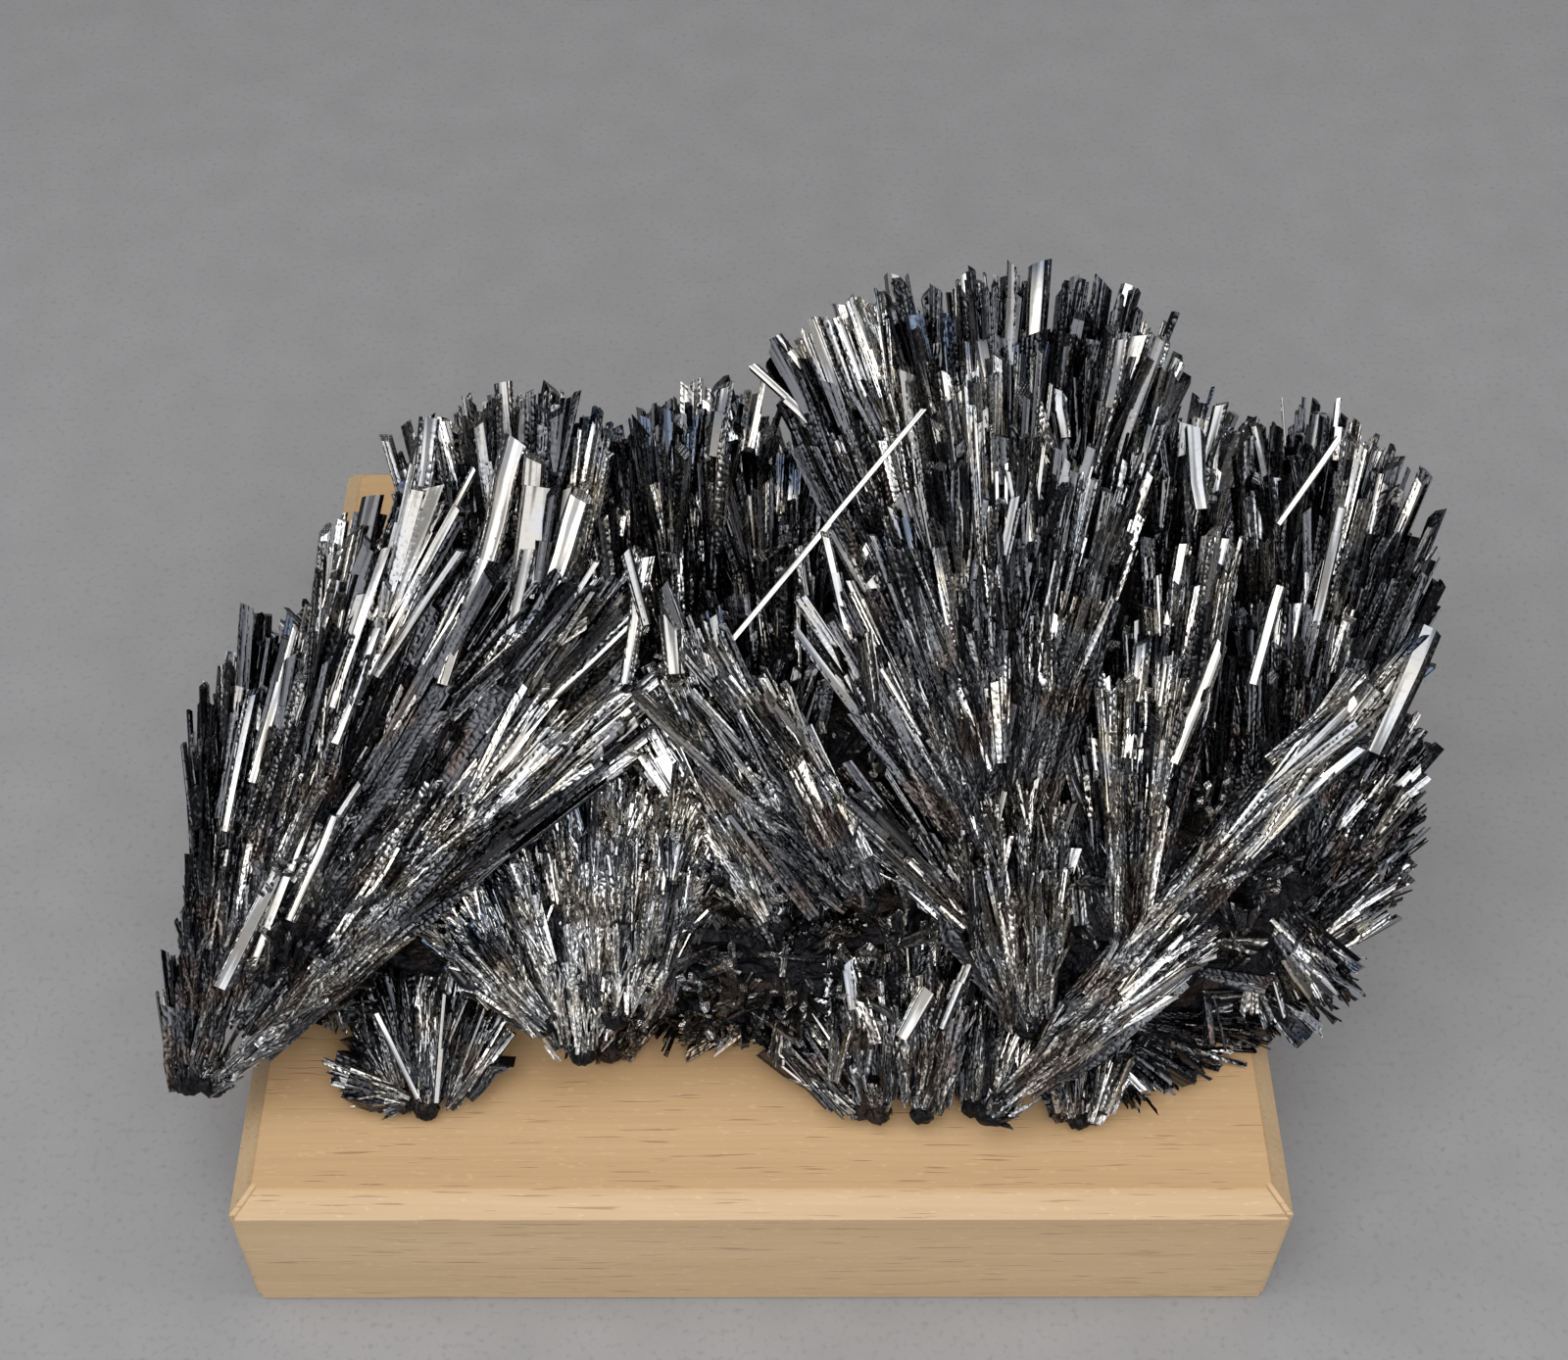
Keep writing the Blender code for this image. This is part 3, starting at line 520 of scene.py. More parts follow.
def lath_mesh(name, table, prism, dice):
    """One mesh of flat-faced crystals that knows the grain, tone and reach of each one."""
    sides, rings = prism.sides, prism.rings
    points, angle, part = lath_points(table, prism, dice)
    loops, sizes = lath_faces(len(table), prism)
    mesh = bpy.data.meshes.new(name)
    mesh.vertices.add(len(points))
    mesh.vertices.foreach_set("co", points.ravel())
    mesh.loops.add(len(loops))
    mesh.loops.foreach_set("vertex_index", loops)
    mesh.polygons.add(len(sizes))
    mesh.polygons.foreach_set("loop_start", np.concatenate([[0], np.cumsum(sizes)[:-1]]))
    mesh.update(calc_edges=True)
    mesh.shade_flat()

    uv = grain_map(table, prism, angle, part, dice)
    mesh.uv_layers.new(name="grain").uv.foreach_set("vector", uv.astype(np.float32).ravel())
    tone, reach_foot, reach_tip = table[:, 11], table[:, 12], table[:, 13]
    reach = column(reach_foot) + column(reach_tip - reach_foot) * part
    for label, values in (("tone", np.repeat(tone, rings * sides)),
                          ("reach", np.repeat(reach.ravel(), sides))):
        attribute = mesh.attributes.new(label, "FLOAT", "POINT")
        attribute.data.foreach_set("value", values.astype(np.float32))
    return mesh


def set_tufts(laths, dice, habit, foot, way, length, square, reach_foot, reach_tip, brighter=0.0):
    """Set a few nearly parallel crystals side by side on each of these feet."""
    count = len(foot)
    shape = (count, habit.crystals)
    side = unit(np.cross(square, way))
    lift = np.cross(way, side)
    turn = dice.uniform(0, math.tau, count)
    comb = (side * column(np.cos(turn)) + lift * column(np.sin(turn)))[:, None]
    facing = (lift * column(np.cos(turn)) - side * column(np.sin(turn)))[:, None]
    girth = habit.width * MM * column(0.25 + 0.8 * np.minimum(reach_tip, 1) ** 2)
    width = girth * np.clip(np.exp(dice.normal(0, 0.45, shape)), 0.4, 2.1)
    place = (np.arange(habit.crystals) - (habit.crystals - 1) / 2) * 0.8
    place = place + dice.normal(0, 0.3, shape)
    depth = dice.normal(0, 0.5, shape)
    offset = (comb * column(place) + facing * column(depth)) * girth[..., None]
    part = 1 - np.minimum(abs(dice.normal(0, 0.13, shape)), 0.5)
    begin = foot[:, None] + offset * 0.45
    sway = dice.normal(0, 0.05, shape + (3,)) * length[:, None, None]
    end = begin + (way * column(length))[:, None] * column(part) + offset * 0.55 + sway
    twist = dice.normal(0, 0.25, shape)
    faces = facing * column(np.cos(twist)) + comb * column(np.sin(twist))
    darkest = habit.tone - LOW_DARKNESS * (1 - np.minimum(reach_tip, 1))
    tone = column(dice.uniform(darkest, 1) + brighter) + dice.normal(0, 0.12, shape)
    laths.add(begin.reshape(-1, 3), end.reshape(-1, 3), width.ravel(),
              dice.uniform(0.5, 0.95, width.size), faces.reshape(-1, 3), np.clip(tone, 0, 1).ravel(),
              np.repeat(reach_foot, habit.crystals), np.repeat(reach_tip, habit.crystals))


def inward(where, amounts):
    """Turn sideways amounts towards the middle of the fan where they start near its edges."""
    return np.where(abs(where - 0.5) > 0.3, abs(amounts) * np.sign(0.5 - where), amounts)


def grow_crown(sheaf, laths, dice, density):
    """Tufts all through the sheaf's thickness whose ends make its outline."""
    habit = HABITS[sheaf.fan.habit]
    where, level = sheaf.grid(habit.pitch * MM / density, dice)
    count = len(where)
    start, target = sheaf.lines(where, level)
    target = target + sheaf.across * column(inward(where, dice.normal(0, 1.2, count)) * MM)
    line = target - start
    full = np.linalg.norm(line, axis=1)
    short = dice.random(count) < SHORT_TUFTS
    reach_tip = np.where(short, dice.uniform(0.72, 0.95, count),
                         1.02 - abs(dice.normal(0, 0.02, count)))
    length = np.minimum(dice.uniform(habit.shortest, habit.longest, count) * 1.3 * MM, full * 0.8)
    reach_foot = np.maximum(reach_tip - length / full, 0.02)
    set_tufts(laths, dice, habit, start + line * column(reach_foot), unit(line), length,
              sheaf.square, reach_foot, reach_tip, sheaf.tone_at(where))


def grow_flanks(sheaf, laths, dice, density):
    """Tufts that leave both faces of the sheaf lower down and lean a little outwards."""
    habit = HABITS[sheaf.fan.habit]
    area = sheaf.breadth * sheaf.length / MM ** 2
    count = int(area * density / (habit.pitch ** 2 * 3.0)) + 2
    where = dice.random(count)
    face = np.where(dice.random(count) < FRONT_TUFTS, 1, -1)
    start, target = sheaf.lines(where, face * 0.85)
    line = target - start
    full = np.linalg.norm(line, axis=1)
    reach_tip = np.sqrt(dice.uniform(0.42 ** 2, 0.93 ** 2, count))
    spread = habit.spread * reach_tip
    sideways = inward(where, dice.normal(0, 1, count) * spread)
    outwards = face * dice.uniform(0.1, 1.8, count) * spread
    way = unit(unit(line) + sheaf.across * column(sideways) + sheaf.square * column(outwards))
    length = np.minimum(dice.uniform(habit.shortest, habit.longest, count) * MM, full * reach_tip * 0.8)
    raised = face * dice.uniform(0, 0.9, count) * MM
    tip = start + line * column(reach_tip) + sheaf.square * column(raised)
    set_tufts(laths, dice, habit, tip - way * column(length), way, length, sheaf.square,
              reach_tip - length / full, reach_tip, sheaf.tone_at(where))


def grow_core(sheaf, laths, dice):
    """Broad crystals that fill the sheaf, so that nothing shows through it, dark with painted shade of its
    inside.
    """
    where, level = sheaf.grid(CORE_PITCH, dice)
    count = len(where)
    start, target = sheaf.lines(where, level * CORE_DEPTH, ridged=False)
    begin = dice.uniform(0.08, 0.3, count)
    end = dice.uniform(0.6, 0.9, count)
    foot = start + (target - start) * column(begin)
    tip = start + (target - start) * column(end)
    facing = sheaf.turned(target - start, dice)
    # Their tones stay low: painted shade inside the sheaf.
    laths.add(foot, tip, CORE_PITCH * end * 1.3, dice.uniform(0.7, 1, count), facing,
              dice.uniform(0, 0.15, count), begin * 0.5, end * 0.6)


def grow_crust(sheaf, laths, dice, density):
    """Tiny crystals grown over the lower part of a sheaf, dull and knobbly."""
    habit = HABITS[sheaf.fan.habit]
    area = sheaf.breadth * sheaf.length * habit.crust_reach ** 2 / MM ** 2
    count = int(area * habit.crust * density) + LEAST_CRUST
    reach = np.sqrt(dice.random(count)) * habit.crust_reach
    face = np.where(dice.random(count) < FRONT_CRUST, 1, -1)
    start, target = sheaf.lines(dice.random(count), face * dice.uniform(0.75, 1.1, count))
    way = unit(target - start)
    foot = start + (target - start) * column(reach)
    length = dice.uniform(1.2, 4.2, count) * MM
    tip = foot + unit(way + dice.normal(0, 0.17, (count, 3))) * column(length)
    facing = sheaf.turned(way, dice)
    width = dice.uniform(0.3, 0.7, count) * habit.width * MM
    laths.add(foot, tip, width, dice.uniform(0.4, 1, count), facing,
              np.clip(dice.uniform(0, 0.55, count) + habit.tone, 0, 1), reach * 0.8, reach * 0.8)


def grow_root(sheaf, laths, dice, knob):
    """A coat of tiny crystals on the knob that a fan grows from."""
    out = unit(dice.normal(0, 1, (ROOT_COAT, 3)))
    foot = (knob + out * KNOB_RADII * 0.7) * MM
    way = unit(out * 0.3 + unit(sheaf.middle - sheaf.root) + dice.normal(0, 0.15, out.shape))
    tip = foot + way * column(dice.uniform(0.8, 2.2, ROOT_COAT) * MM)
    laths.add(foot, tip, dice.uniform(0.4, 1.0, ROOT_COAT) * MM, dice.uniform(0.4, 1, ROOT_COAT), out,
              dice.uniform(0, 0.6, ROOT_COAT), np.full(ROOT_COAT, 0.3), np.full(ROOT_COAT, 0.4))


def set_lone(laths, dice, table, laid, raised, flat, dullest):
    """Set these crystals, each turned by this share until its broad face looks at FACED."""
    foot, tip, width = (np.array(values) * MM for values in zip(*table))
    count = len(table)
    facing = unit(FACED - (foot + tip) / 2)
    tip = tip + facing * (raised - column(((tip - foot) * facing).sum(axis=1) * laid))
    foot = foot + facing * raised
    laths.add(foot, tip, width, np.full(count, flat), facing, dice.uniform(dullest, 1, count),
              np.full(count, 0.6), np.full(count, 0.9))


def grow_bristles(laths, dice, density):
    """Small tufts that lie and stand every way on the matted middle."""
    habit = HABITS["needles"]._replace(longest=8, shortest=3, tone=0.1, width=1.7)
    for lump in LUMPS:
        count = int(lump.tufts * density)
        way = unit(dice.normal(0, 1, (count, 3)))
        way[:, 1] = -abs(way[:, 1]) * np.where(dice.random(count) < 0.6, 1, -1)
        foot = (np.array(lump.centre) + way * lump.radii) * MM
        scatter = dice.normal(0, 0.4, (count, 3))
        outward = unit(unit(way / lump.radii) * 0.35 + scatter + (0, 0.1, 0.3))
        length = dice.uniform(habit.shortest, habit.longest, count) * MM
        low = foot[:, 2] < FOOT_PLANE + 6 * MM
        outward[low, 2] = abs(outward[low, 2])
        kept = ((foot[:, 2] > FOOT_PLANE) & (foot[:, 0] > HEART_EDGES[0])
                & (foot[:, 0] < HEART_EDGES[1]))
        begin = (foot - outward * column(length * 0.3))[kept]
        square = unit(dice.normal(0, 1, begin.shape))
        reach = np.full(kept.sum(), 0.35)
        set_tufts(laths, dice, habit, begin, outward[kept], length[kept], square, reach, reach)


def rough_ball(name, centre, radii, fineness, depth):
    """A rough ball of tiny crystals grown together, flat where it rests."""
    bm = bmesh.new()
    bmesh.ops.create_icosphere(bm, subdivisions=fineness, radius=1)
    for vertex in bm.verts:
        way = vertex.co.normalized()
        rough = depth * noise.fractal(way * 7 + Vector(centre), 0.8, 2.1, 4)
        place = Vector(centre) + Vector(a * b for a, b in zip(way * (1 + rough), radii))
        vertex.co = place * MM
        if abs(vertex.co.x) < BLOCK_HIGH[0] and abs(vertex.co.y) < BLOCK_HIGH[1]:
            vertex.co.z = max(vertex.co.z, FOOT_PLANE)
    mesh = bpy.data.meshes.new(name)
    bm.to_mesh(mesh)
    bm.free()
    return mesh


def link(name, mesh, material):
    """A new object in the scene with this mesh and material."""
    mesh.materials.append(material)
    thing = bpy.data.objects.new(name, mesh)
    bpy.context.scene.collection.objects.link(thing)
    return thing


def carry(piece):
    """Let a piece of the spray ride with the block and stand for the plain solid."""
    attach(piece, "root")
    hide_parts("crystal_spray")


def merge(name, parts):
    """Join several objects into one, each part with its own material."""
    with bpy.context.temp_override(active_object=parts[0], selected_editable_objects=parts):
        bpy.ops.object.join()
    parts[0].name = name
    return parts[0]


# ---------------------------------------------------------------- materials

class Wiring:
    """Short ways to add and join the nodes of one node tree."""

    def __init__(self, tree):
        self.tree = tree

    def add(self, kind, settings=None, **inputs):
        node = self.tree.nodes.new("ShaderNode" + kind)
        for key, value in (settings or {}).items():
            setattr(node, key, value)
        for key, value in inputs.items():
            self.feed(node, key.replace("_", " "), value)
        return node

    def feed(self, node, key, value):
        """Join this socket to an input or set the input's value. The key i0 is the first input."""
        socket = node.inputs[int(key[1:])] if key[1:].isdigit() else node.inputs[key]
        if isinstance(value, bpy.types.NodeSocket):
            self.tree.links.new(value, socket)
        else:
            socket.default_value = (*value, 1) if socket.type == "RGBA" else value

    def attribute(self, name):
        return self.add("Attribute", {"attribute_name": name}).outputs["Fac"]

    def stretched_noise(self, place, scale, detail, dimensions="3D"):
        mapped = self.add("Mapping", Vector=place, Scale=scale)
        texture = self.add("TexNoise", {"noise_dimensions": dimensions}, Vector=mapped.outputs["Vector"],
                           Scale=1.0, Detail=detail)
        return texture.outputs["Fac"]

    def ramp(self, value, low, high, out_low=0.0, out_high=1.0):
        node = self.add("MapRange", Value=value, From_Min=low, From_Max=high,
                        To_Min=out_low, To_Max=out_high)
        return node.outputs["Result"]

    def maths(self, operation, first, second):
        return self.add("Math", {"operation": operation}, i0=first, i1=second).outputs[0]

    def mix(self, share, first, second):
        node = self.add("Mix", {"data_type": "RGBA"}, Factor=share, A=first, B=second)
        return node.outputs["Result"]


def new_group(name, numbers, colours):
    """An empty shader node group that takes these numbers and colours and gives a colour."""
    group = bpy.data.node_groups.new(name, "ShaderNodeTree")
    for labels, kind in ((numbers, "NodeSocketFloat"), (colours, "NodeSocketColor")):
        for label in labels:
            group.interface.new_socket(label, in_out="INPUT", socket_type=kind)
    group.interface.new_socket("Color", in_out="OUTPUT", socket_type="NodeSocketColor")
    given, out = group.nodes.new("NodeGroupInput"), group.nodes.new("NodeGroupOutput")
    return group, Wiring(group), given, out


def film_group():
    """Metal from dark to bright by its tone, in places warmer, with brown films low down and
    blue ones near the tips. A tone above 1 is stained."""
    found = bpy.data.node_groups.get("stibnite_film")
    if found:
        return found
    group, wire, given, out = new_group(
        "stibnite_film", ("Tone", "Reach"), ("Dark", "Bright", "Warm", "Brown", "Blue", "Stain"))
    place = wire.add("TexCoord").outputs["Object"]
    drift = wire.stretched_noise(place, (90, 90, 90), 0.0)
    patch = wire.stretched_noise(place, (260, 260, 260), 0.0)
    bright = wire.mix(wire.ramp(patch, 0.4, 0.58), given.outputs["Bright"], given.outputs["Warm"])
    metal = wire.mix(wire.ramp(given.outputs["Tone"], 0.1, 1.0), given.outputs["Dark"], bright)
    near_root = wire.ramp(given.outputs["Reach"], 0.75, 0.3)
    low = wire.maths("MULTIPLY", near_root, wire.ramp(patch, 0.56, 0.66))
    browned = wire.mix(wire.maths("MULTIPLY", low, 0.4), metal, given.outputs["Brown"])
    near_tip = wire.ramp(given.outputs["Reach"], 0.6, 0.95)
    high = wire.maths("MULTIPLY", near_tip, wire.ramp(drift, 0.5, 0.62))
    chosen = wire.maths("MULTIPLY", high, wire.ramp(given.outputs["Tone"], 0.35, 0.6))
    filmed = wire.mix(chosen, browned, given.outputs["Blue"])
    stained = wire.ramp(given.outputs["Tone"], 1.0, STAINED, 0.0, 0.9)
    wire.feed(out, "Color", wire.mix(stained, filmed, given.outputs["Stain"]))
    return group


def stibnite_metal(look):
    """Bright metal with lengthwise striations, darkened along them with painted shade, rougher and pitted
    near the roots.
    """
    found = bpy.data.materials.get("stibnite_metal")
    if found:
        return found
    material, wire, shader = new_material("stibnite_metal")
    tone, reach = wire.attribute("tone"), wire.attribute("reach")
    film = wire.add("Group", {"node_tree": film_group()}, Tone=tone, Reach=reach,
                    Dark=look.dark, Bright=look.bright, Warm=look.warm,
                    Brown=look.brown, Blue=look.blue, Stain=look.stain)
    grain = wire.add("UVMap", {"uv_map": "grain"}).outputs["UV"]
    lines = wire.stretched_noise(grain, (2.6, 0.07, 1.0), 1.0, "2D")
    # The dark lines along the striations are painted shade, mixed into the colour.
    streaks = wire.ramp(lines, 0.38, 0.54, 0.3, 1.0)
    wire.feed(shader, "Base Color", wire.mix(streaks, look.shade, film.outputs["Color"]))
    pits = wire.stretched_noise(grain, (3.6, 2.3, 1.0), 0.0, "2D")
    worn = wire.ramp(reach, 0.2, 0.6, 0.4, 0.08)
    rough = wire.maths("ADD", worn, wire.ramp(pits, 0.45, 0.75, 0.0, 0.25))
    wire.feed(shader, "Roughness", rough)
    knobs = wire.maths("MULTIPLY", pits, wire.ramp(reach, 0.2, 0.7, 1.6, 0.25))
    height = wire.maths("ADD", lines, knobs)
    bump = wire.add("Bump", Strength=look.striation, Distance=0.2 * MM, Height=height)
    wire.feed(shader, "Normal", bump.outputs["Normal"])
    shader.inputs["Metallic"].default_value = 1.0
    return material


def stibnite_matted(look):
    """The dull granular mass in the middle and the knobs at the roots, where fine crystals are grown
    together; its near-black colour is painted shade.
    """
    found = bpy.data.materials.get("stibnite_matted")
    if found:
        return found
    material, wire, shader = new_material("stibnite_matted")
    place = wire.add("TexCoord").outputs["Object"]
    grains = wire.stretched_noise(place, (1500, 1500, 1500), 4.0)
    # Deep shade and dark metal as its colours: painted shade.
    film = wire.add("Group", {"node_tree": film_group()}, Reach=0.6,
                    Tone=wire.ramp(grains, 0.45, 0.75, 0.0, 0.5),
                    Dark=look.shade, Bright=look.dark, Warm=look.dark,
                    Brown=look.brown, Blue=look.blue, Stain=look.brown)
    wire.feed(shader, "Base Color", film.outputs["Color"])
    wire.feed(shader, "Roughness", wire.ramp(grains, 0.3, 0.7, 0.35, 0.7))
    bump = wire.add("Bump", Strength=0.9, Distance=0.5 * MM, Height=grains)
    wire.feed(shader, "Normal", bump.outputs["Normal"])
    shader.inputs["Metallic"].default_value = 0.9
    return material


def new_material(name):
    material = bpy.data.materials.new(name)
    material.use_nodes = True
    return material, Wiring(material.node_tree), material.node_tree.nodes["Principled BSDF"]


def planed_wood(look):
    """Pale hardwood with its grain along X: soft growth bands, fine dark pores, pale specks."""
    material, wire, shader = new_material("planed_wood")
    place = wire.add("TexCoord").outputs["Object"]
    bands = wire.stretched_noise(place, (9, 130, 160), 3.0)
    clouds = wire.stretched_noise(place, (14, 40, 40), 2.0)
    fibres = wire.stretched_noise(place, (60, 2200, 2200), 4.0)
    pores = wire.stretched_noise(place, (170, 3600, 3600), 1.0)
    specks = wire.stretched_noise(place, (900, 2600, 2600), 1.0)
    growth = wire.mix(wire.ramp(bands, 0.3, 0.7), look.dark_grain, look.pale_grain)
    cloudy = wire.mix(wire.ramp(clouds, 0.35, 0.7, 0.0, 0.35), growth, look.warm_grain)
    fibrous = wire.mix(wire.ramp(fibres, 0.35, 0.72, 0.0, 0.45), cloudy, look.dark_grain)
    pore = wire.ramp(pores, 0.66, 0.74)
    pored = wire.mix(wire.maths("MULTIPLY", pore, 0.5), fibrous, look.pore)
    speck = wire.maths("MULTIPLY", wire.ramp(specks, 0.65, 0.72), 0.22)
    specked = wire.mix(speck, pored, look.speck)
    height = wire.add("SeparateXYZ", Vector=place).outputs["Z"]
    top = wire.ramp(height, BLOCK_HIGH[2] - 0.6 * MM, BLOCK_HIGH[2] - 0.1 * MM)
    tinted = wire.add("Mix", {"data_type": "RGBA", "blend_type": "MULTIPLY"}, Factor=top,
                      A=specked, B=look.oil)
    wire.feed(shader, "Base Color", tinted.outputs["Result"])
    wire.feed(shader, "Roughness", wire.ramp(fibres, 0.3, 0.7, 0.48, 0.66))
    relief = wire.maths("SUBTRACT", fibres, wire.maths("MULTIPLY", pore, 1.5))
    bump = wire.add("Bump", Strength=0.35, Distance=0.1 * MM, Height=relief)
    wire.feed(shader, "Normal", bump.outputs["Normal"])
    return material


def studio_floor_paper(look):
    """Matt grey paper with the faintest mottling."""
    material, wire, shader = new_material("studio_floor_paper")
    place = wire.add("TexCoord").outputs["Object"]
    mottle = wire.stretched_noise(place, (120, 120, 120), 2.0)
    flecks = wire.stretched_noise(place, (1400, 1400, 1400), 1.0)
    darker, paler = (tuple(channel * share for channel in look.floor_colour) for share in (0.86, 1.08))
    mottled = wire.mix(wire.ramp(mottle, 0.3, 0.7), look.floor_colour, paler)
    wire.feed(shader, "Base Color", wire.mix(wire.ramp(flecks, 0.55, 0.8), mottled, darker))
    shader.inputs["Roughness"].default_value = 0.85
    return material


# ---------------------------------------------------------------- settings

def tint(name, description, default):
    """A colour that a user can change."""
    return bpy.props.FloatVectorProperty(
        name=name, description=description, default=default, subtype="COLOR")


def watts(name, description, default):
    """A light's power that a user can change."""
    return bpy.props.FloatProperty(
        name=name, description=description, default=default, unit="POWER")


class SprayLook(bpy.types.PropertyGroup):
    """How the crystals are strewn, and their colours."""
    seed: bpy.props.IntProperty(
        name="Seed", description="Number that fixes where every crystal stands", default=7)
    density: bpy.props.FloatProperty(
        name="Density", description="How closely the tufts stand", default=1.0, subtype="FACTOR")
    dark: tint("Dark Metal", "Colour of the dullest crystals", (0.078, 0.08, 0.088))
    # Deep Shade is painted shade: the colour of the matted middle and of the dark lines along the
    # striations.
    shade: tint("Deep Shade", "Colour of the matted middle and the striations", (0.01, 0.01, 0.012))
    bright: tint("Bright Metal", "Colour of the brightest crystals", (0.73, 0.735, 0.745))
    warm: tint("Warm Metal", "Colour of the bright crystals where they are warmer", (0.77, 0.735, 0.67))
    brown: tint("Brown Film", "Colour of the film low on the crystals", (0.14, 0.085, 0.055))
    stain: tint("Brown Stain", "Colour of the bundles that are stained all over", (0.13, 0.09, 0.055))
    blue: tint("Blue Film", "Colour of the tarnish near the tips", (0.07, 0.088, 0.125))
    striation: bpy.props.FloatProperty(
        name="Striation", description="Depth of the lines along the crystals",
        default=0.6, subtype="FACTOR")


class BlockLook(bpy.types.PropertyGroup):
    """Colours of the wooden block."""
    pale_grain: tint("Pale Grain", "Colour of the early wood", (0.58, 0.42, 0.25))
    dark_grain: tint("Dark Grain", "Colour of the late wood", (0.46, 0.32, 0.18))
    warm_grain: tint("Warm Grain", "Colour of the warmer clouds", (0.55, 0.36, 0.20))
    pore: tint("Pores", "Colour of the open pores", (0.2, 0.1, 0.04))
    oil: tint("Oil", "Tint of the oiled top", (0.96, 0.88, 0.78))
    speck: tint("Specks", "Colour of the cut rays", (0.75, 0.58, 0.36))


class StageLook(bpy.types.PropertyGroup):
    """The colour of the floor and the powers of the lights."""
    floor_colour: tint("Floor", "Colour of the floor", (0.26, 0.26, 0.265))
    key_power: watts("Key Power", "Power of the main light", 2.9)
    side_power: watts("Side Power", "Power of the two side lights", 0.6)
    front_power: watts("Front Power", "Power of the low light in front", 0.8)
    back_power: watts("Back Power", "Power of the light behind", 0.5)


# ---------------------------------------------------------------- operators

class STIBNITE_OT_grow_region(bpy.types.Operator):
    """Grow all the crystals of one region of the spray"""
    bl_idname = "stibnite.grow_region"
    bl_label = "Grow Region"

    region: bpy.props.StringProperty(name="Region", description="Which fans to grow", default="left")

    def execute(self, context):
        look = context.scene.spray_look
        dice = np.random.default_rng([look.seed, REGIONS.index(self.region)])
        kinds = {"core": Laths(), "crust": Laths()}
        knobs = []
        for row in FANS[self.region]:
            fan = Fan(*row)
            sheaf = Sheaf(fan, dice)
            tufts = kinds.setdefault(HABITS[fan.habit].prism, Laths())
            for laths in kinds.values():
                laths.stain = STAINED if fan.habit == "tarnished" else 0
            grow_crown(sheaf, tufts, dice, look.density)
            grow_flanks(sheaf, tufts, dice, look.density)
            grow_core(sheaf, kinds["core"], dice)
            grow_crust(sheaf, kinds["crust"], dice, look.density)
            knob = unit(np.array(fan.middle, float) - fan.root) * KNOB_RISE + fan.root
            grow_root(sheaf, kinds["crust"], dice, knob)
            ball = rough_ball(f"{fan.name}_knob", knob, KNOB_RADII, fineness=3, depth=0.2)
            knobs.append(link(f"{fan.name}_knob", ball, stibnite_matted(look)))
        metal = stibnite_metal(look)
        parts = [link(f"{self.region}_{kind}", lath_mesh(kind, laths.table(), PRISMS[kind], dice), metal)
                 for kind, laths in kinds.items()]
        carry(merge(f"crystals_{self.region}", parts + knobs))
        return {"FINISHED"}


class STIBNITE_OT_grow_heart(bpy.types.Operator):
    """Grow the matted middle that the sheaves start in"""
    bl_idname = "stibnite.grow_heart"
    bl_label = "Grow Heart"

    def execute(self, context):
        look = context.scene.spray_look
        dice = np.random.default_rng([look.seed, len(REGIONS)])
        laths = Laths()
        grow_bristles(laths, dice, look.density)
        bristles = lath_mesh("bristles", laths.table(), PRISMS["bristle"], dice)
        parts = [link("bristles", bristles, stibnite_metal(look))]
        for number, lump in enumerate(LUMPS):
            ball = rough_ball("lump", lump.centre, lump.radii, fineness=5, depth=0.09)
            parts.append(link(f"lump_{number}", ball, stibnite_matted(look)))
        carry(merge("matted_heart", parts))
        return {"FINISHED"}


class STIBNITE_OT_set_lone_crystals(bpy.types.Operator):
    """Set the crystals that stand out from their sheaf"""
    bl_idname = "stibnite.set_lone_crystals"
    bl_label = "Set Lone Crystals"

    def execute(self, context):
        look = context.scene.spray_look
        dice = np.random.default_rng([look.seed, len(REGIONS) + 1])
        laths = Laths()
        set_lone(laths, dice, LONE_CRYSTALS, laid=0.3, raised=0.0, flat=0.7, dullest=0.0)
        set_lone(laths, dice, BROAD_BLADES, laid=0.9, raised=1.2 * MM, flat=0.5, dullest=0.3)
        mesh = lath_mesh("lone", laths.table(), PRISMS["lone"], dice)
        carry(link("lone_crystals", mesh, stibnite_metal(look)))
        return {"FINISHED"}


class STIBNITE_OT_finish_block(bpy.types.Operator):
    """Give the display block its planed wood"""
    bl_idname = "stibnite.finish_block"
    bl_label = "Finish Block"

    def execute(self, context):
        wood = planed_wood(context.scene.block_look)
        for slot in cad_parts["wood_block"].material_slots:
            slot.material = wood
        return {"FINISHED"}


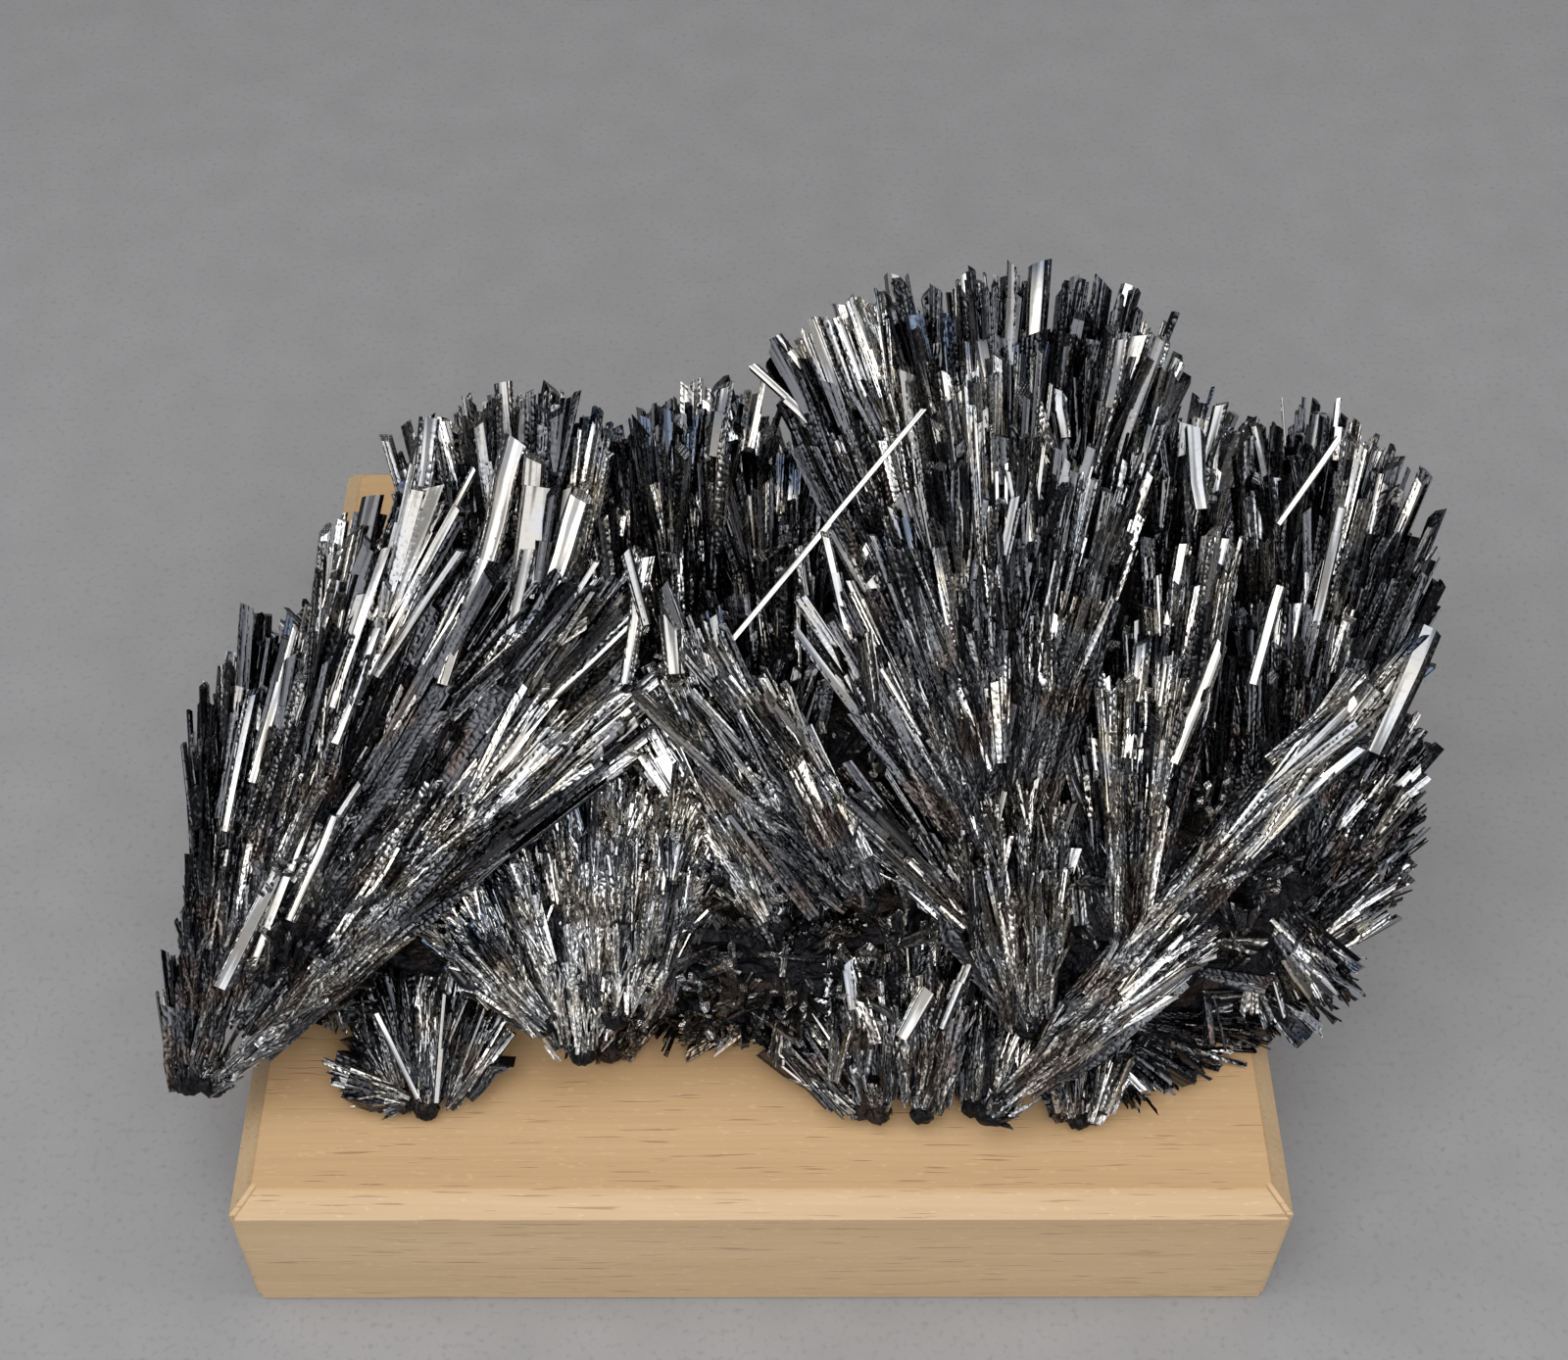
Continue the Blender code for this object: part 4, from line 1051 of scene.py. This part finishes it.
class STIBNITE_OT_set_stage(bpy.types.Operator):
    """Lay the floor and place the lights and the camera"""
    bl_idname = "stibnite.set_stage"
    bl_label = "Set Stage"

    def execute(self, context):
        look = context.scene.stage_look
        bm = bmesh.new()
        bmesh.ops.create_grid(bm, x_segments=1, y_segments=1, size=FLOOR_HALF_SIZE)
        mesh = bpy.data.meshes.new("floor")
        bm.to_mesh(mesh)
        bm.free()
        floor = link("studio_floor", mesh, studio_floor_paper(look))
        floor.location.z = BLOCK_LOW[2] - FLOOR_DROP
        for name, place, size, power in LIGHTS:
            self.add_light(name, place, size, getattr(look, power))
        world = bpy.data.worlds.new("studio")
        world.use_nodes = True
        world.node_tree.nodes["Background"].inputs["Color"].default_value = ROOM_COLOUR
        context.scene.world = world
        context.scene.view_settings.view_transform = "Standard"
        self.add_camera(context.scene)
        return {"FINISHED"}

    def add_light(self, name, place, size, power):
        data = bpy.data.lights.new(name, "AREA")
        data.energy = power
        data.size = size
        lamp = bpy.data.objects.new(name, data)
        bpy.context.scene.collection.objects.link(lamp)
        lamp.location = place
        way = Vector(LIT_POINT) - Vector(place)
        lamp.rotation_euler = way.to_track_quat("-Z", "Y").to_euler()

    def add_camera(self, scene):
        data = bpy.data.cameras.new("camera")
        data.sensor_width = 36
        data.lens = CAMERA_LENS
        data.clip_start = 0.01
        camera = bpy.data.objects.new("camera", data)
        scene.collection.objects.link(camera)
        turn = (Matrix.Rotation(math.radians(CAMERA_AZIMUTH), 4, "Z")
                @ Matrix.Rotation(math.radians(90 - CAMERA_ELEVATION), 4, "X")
                @ Matrix.Rotation(math.radians(CAMERA_ROLL), 4, "Z"))
        target = Matrix.Translation(Vector(CAMERA_TARGET) * MM)
        camera.matrix_world = target @ turn @ Matrix.Translation((0, 0, CAMERA_DISTANCE * MM))
        scene.camera = camera


class STIBNITE_PT_panel(bpy.types.Panel):
    """Lists the steps in the order they are run."""
    bl_label = "Stibnite Spray"
    bl_idname = "STIBNITE_PT_panel"
    bl_space_type = "VIEW_3D"
    bl_region_type = "UI"
    bl_category = "Stibnite"

    def draw(self, context):
        layout = self.layout
        for region in REGIONS:
            layout.operator("stibnite.grow_region", text=f"Grow {region}").region = region
        layout.operator("stibnite.grow_heart")
        layout.operator("stibnite.set_lone_crystals")
        layout.operator("stibnite.finish_block")
        layout.operator("stibnite.set_stage")


CLASSES = (
    SprayLook, BlockLook, StageLook,
    STIBNITE_OT_grow_region, STIBNITE_OT_grow_heart, STIBNITE_OT_set_lone_crystals,
    STIBNITE_OT_finish_block, STIBNITE_OT_set_stage, STIBNITE_PT_panel,
)


def register():
    for cls in CLASSES:
        bpy.utils.register_class(cls)
    bpy.types.Scene.spray_look = bpy.props.PointerProperty(type=SprayLook)
    bpy.types.Scene.block_look = bpy.props.PointerProperty(type=BlockLook)
    bpy.types.Scene.stage_look = bpy.props.PointerProperty(type=StageLook)


def unregister():
    del bpy.types.Scene.spray_look
    del bpy.types.Scene.block_look
    del bpy.types.Scene.stage_look
    for cls in reversed(CLASSES):
        bpy.utils.unregister_class(cls)


def main():
    register()
    for region in REGIONS:
        bpy.ops.stibnite.grow_region(region=region)
    bpy.ops.stibnite.grow_heart()
    bpy.ops.stibnite.set_lone_crystals()
    bpy.ops.stibnite.finish_block()
    bpy.ops.stibnite.set_stage()


if __name__ == "__main__":
    main()
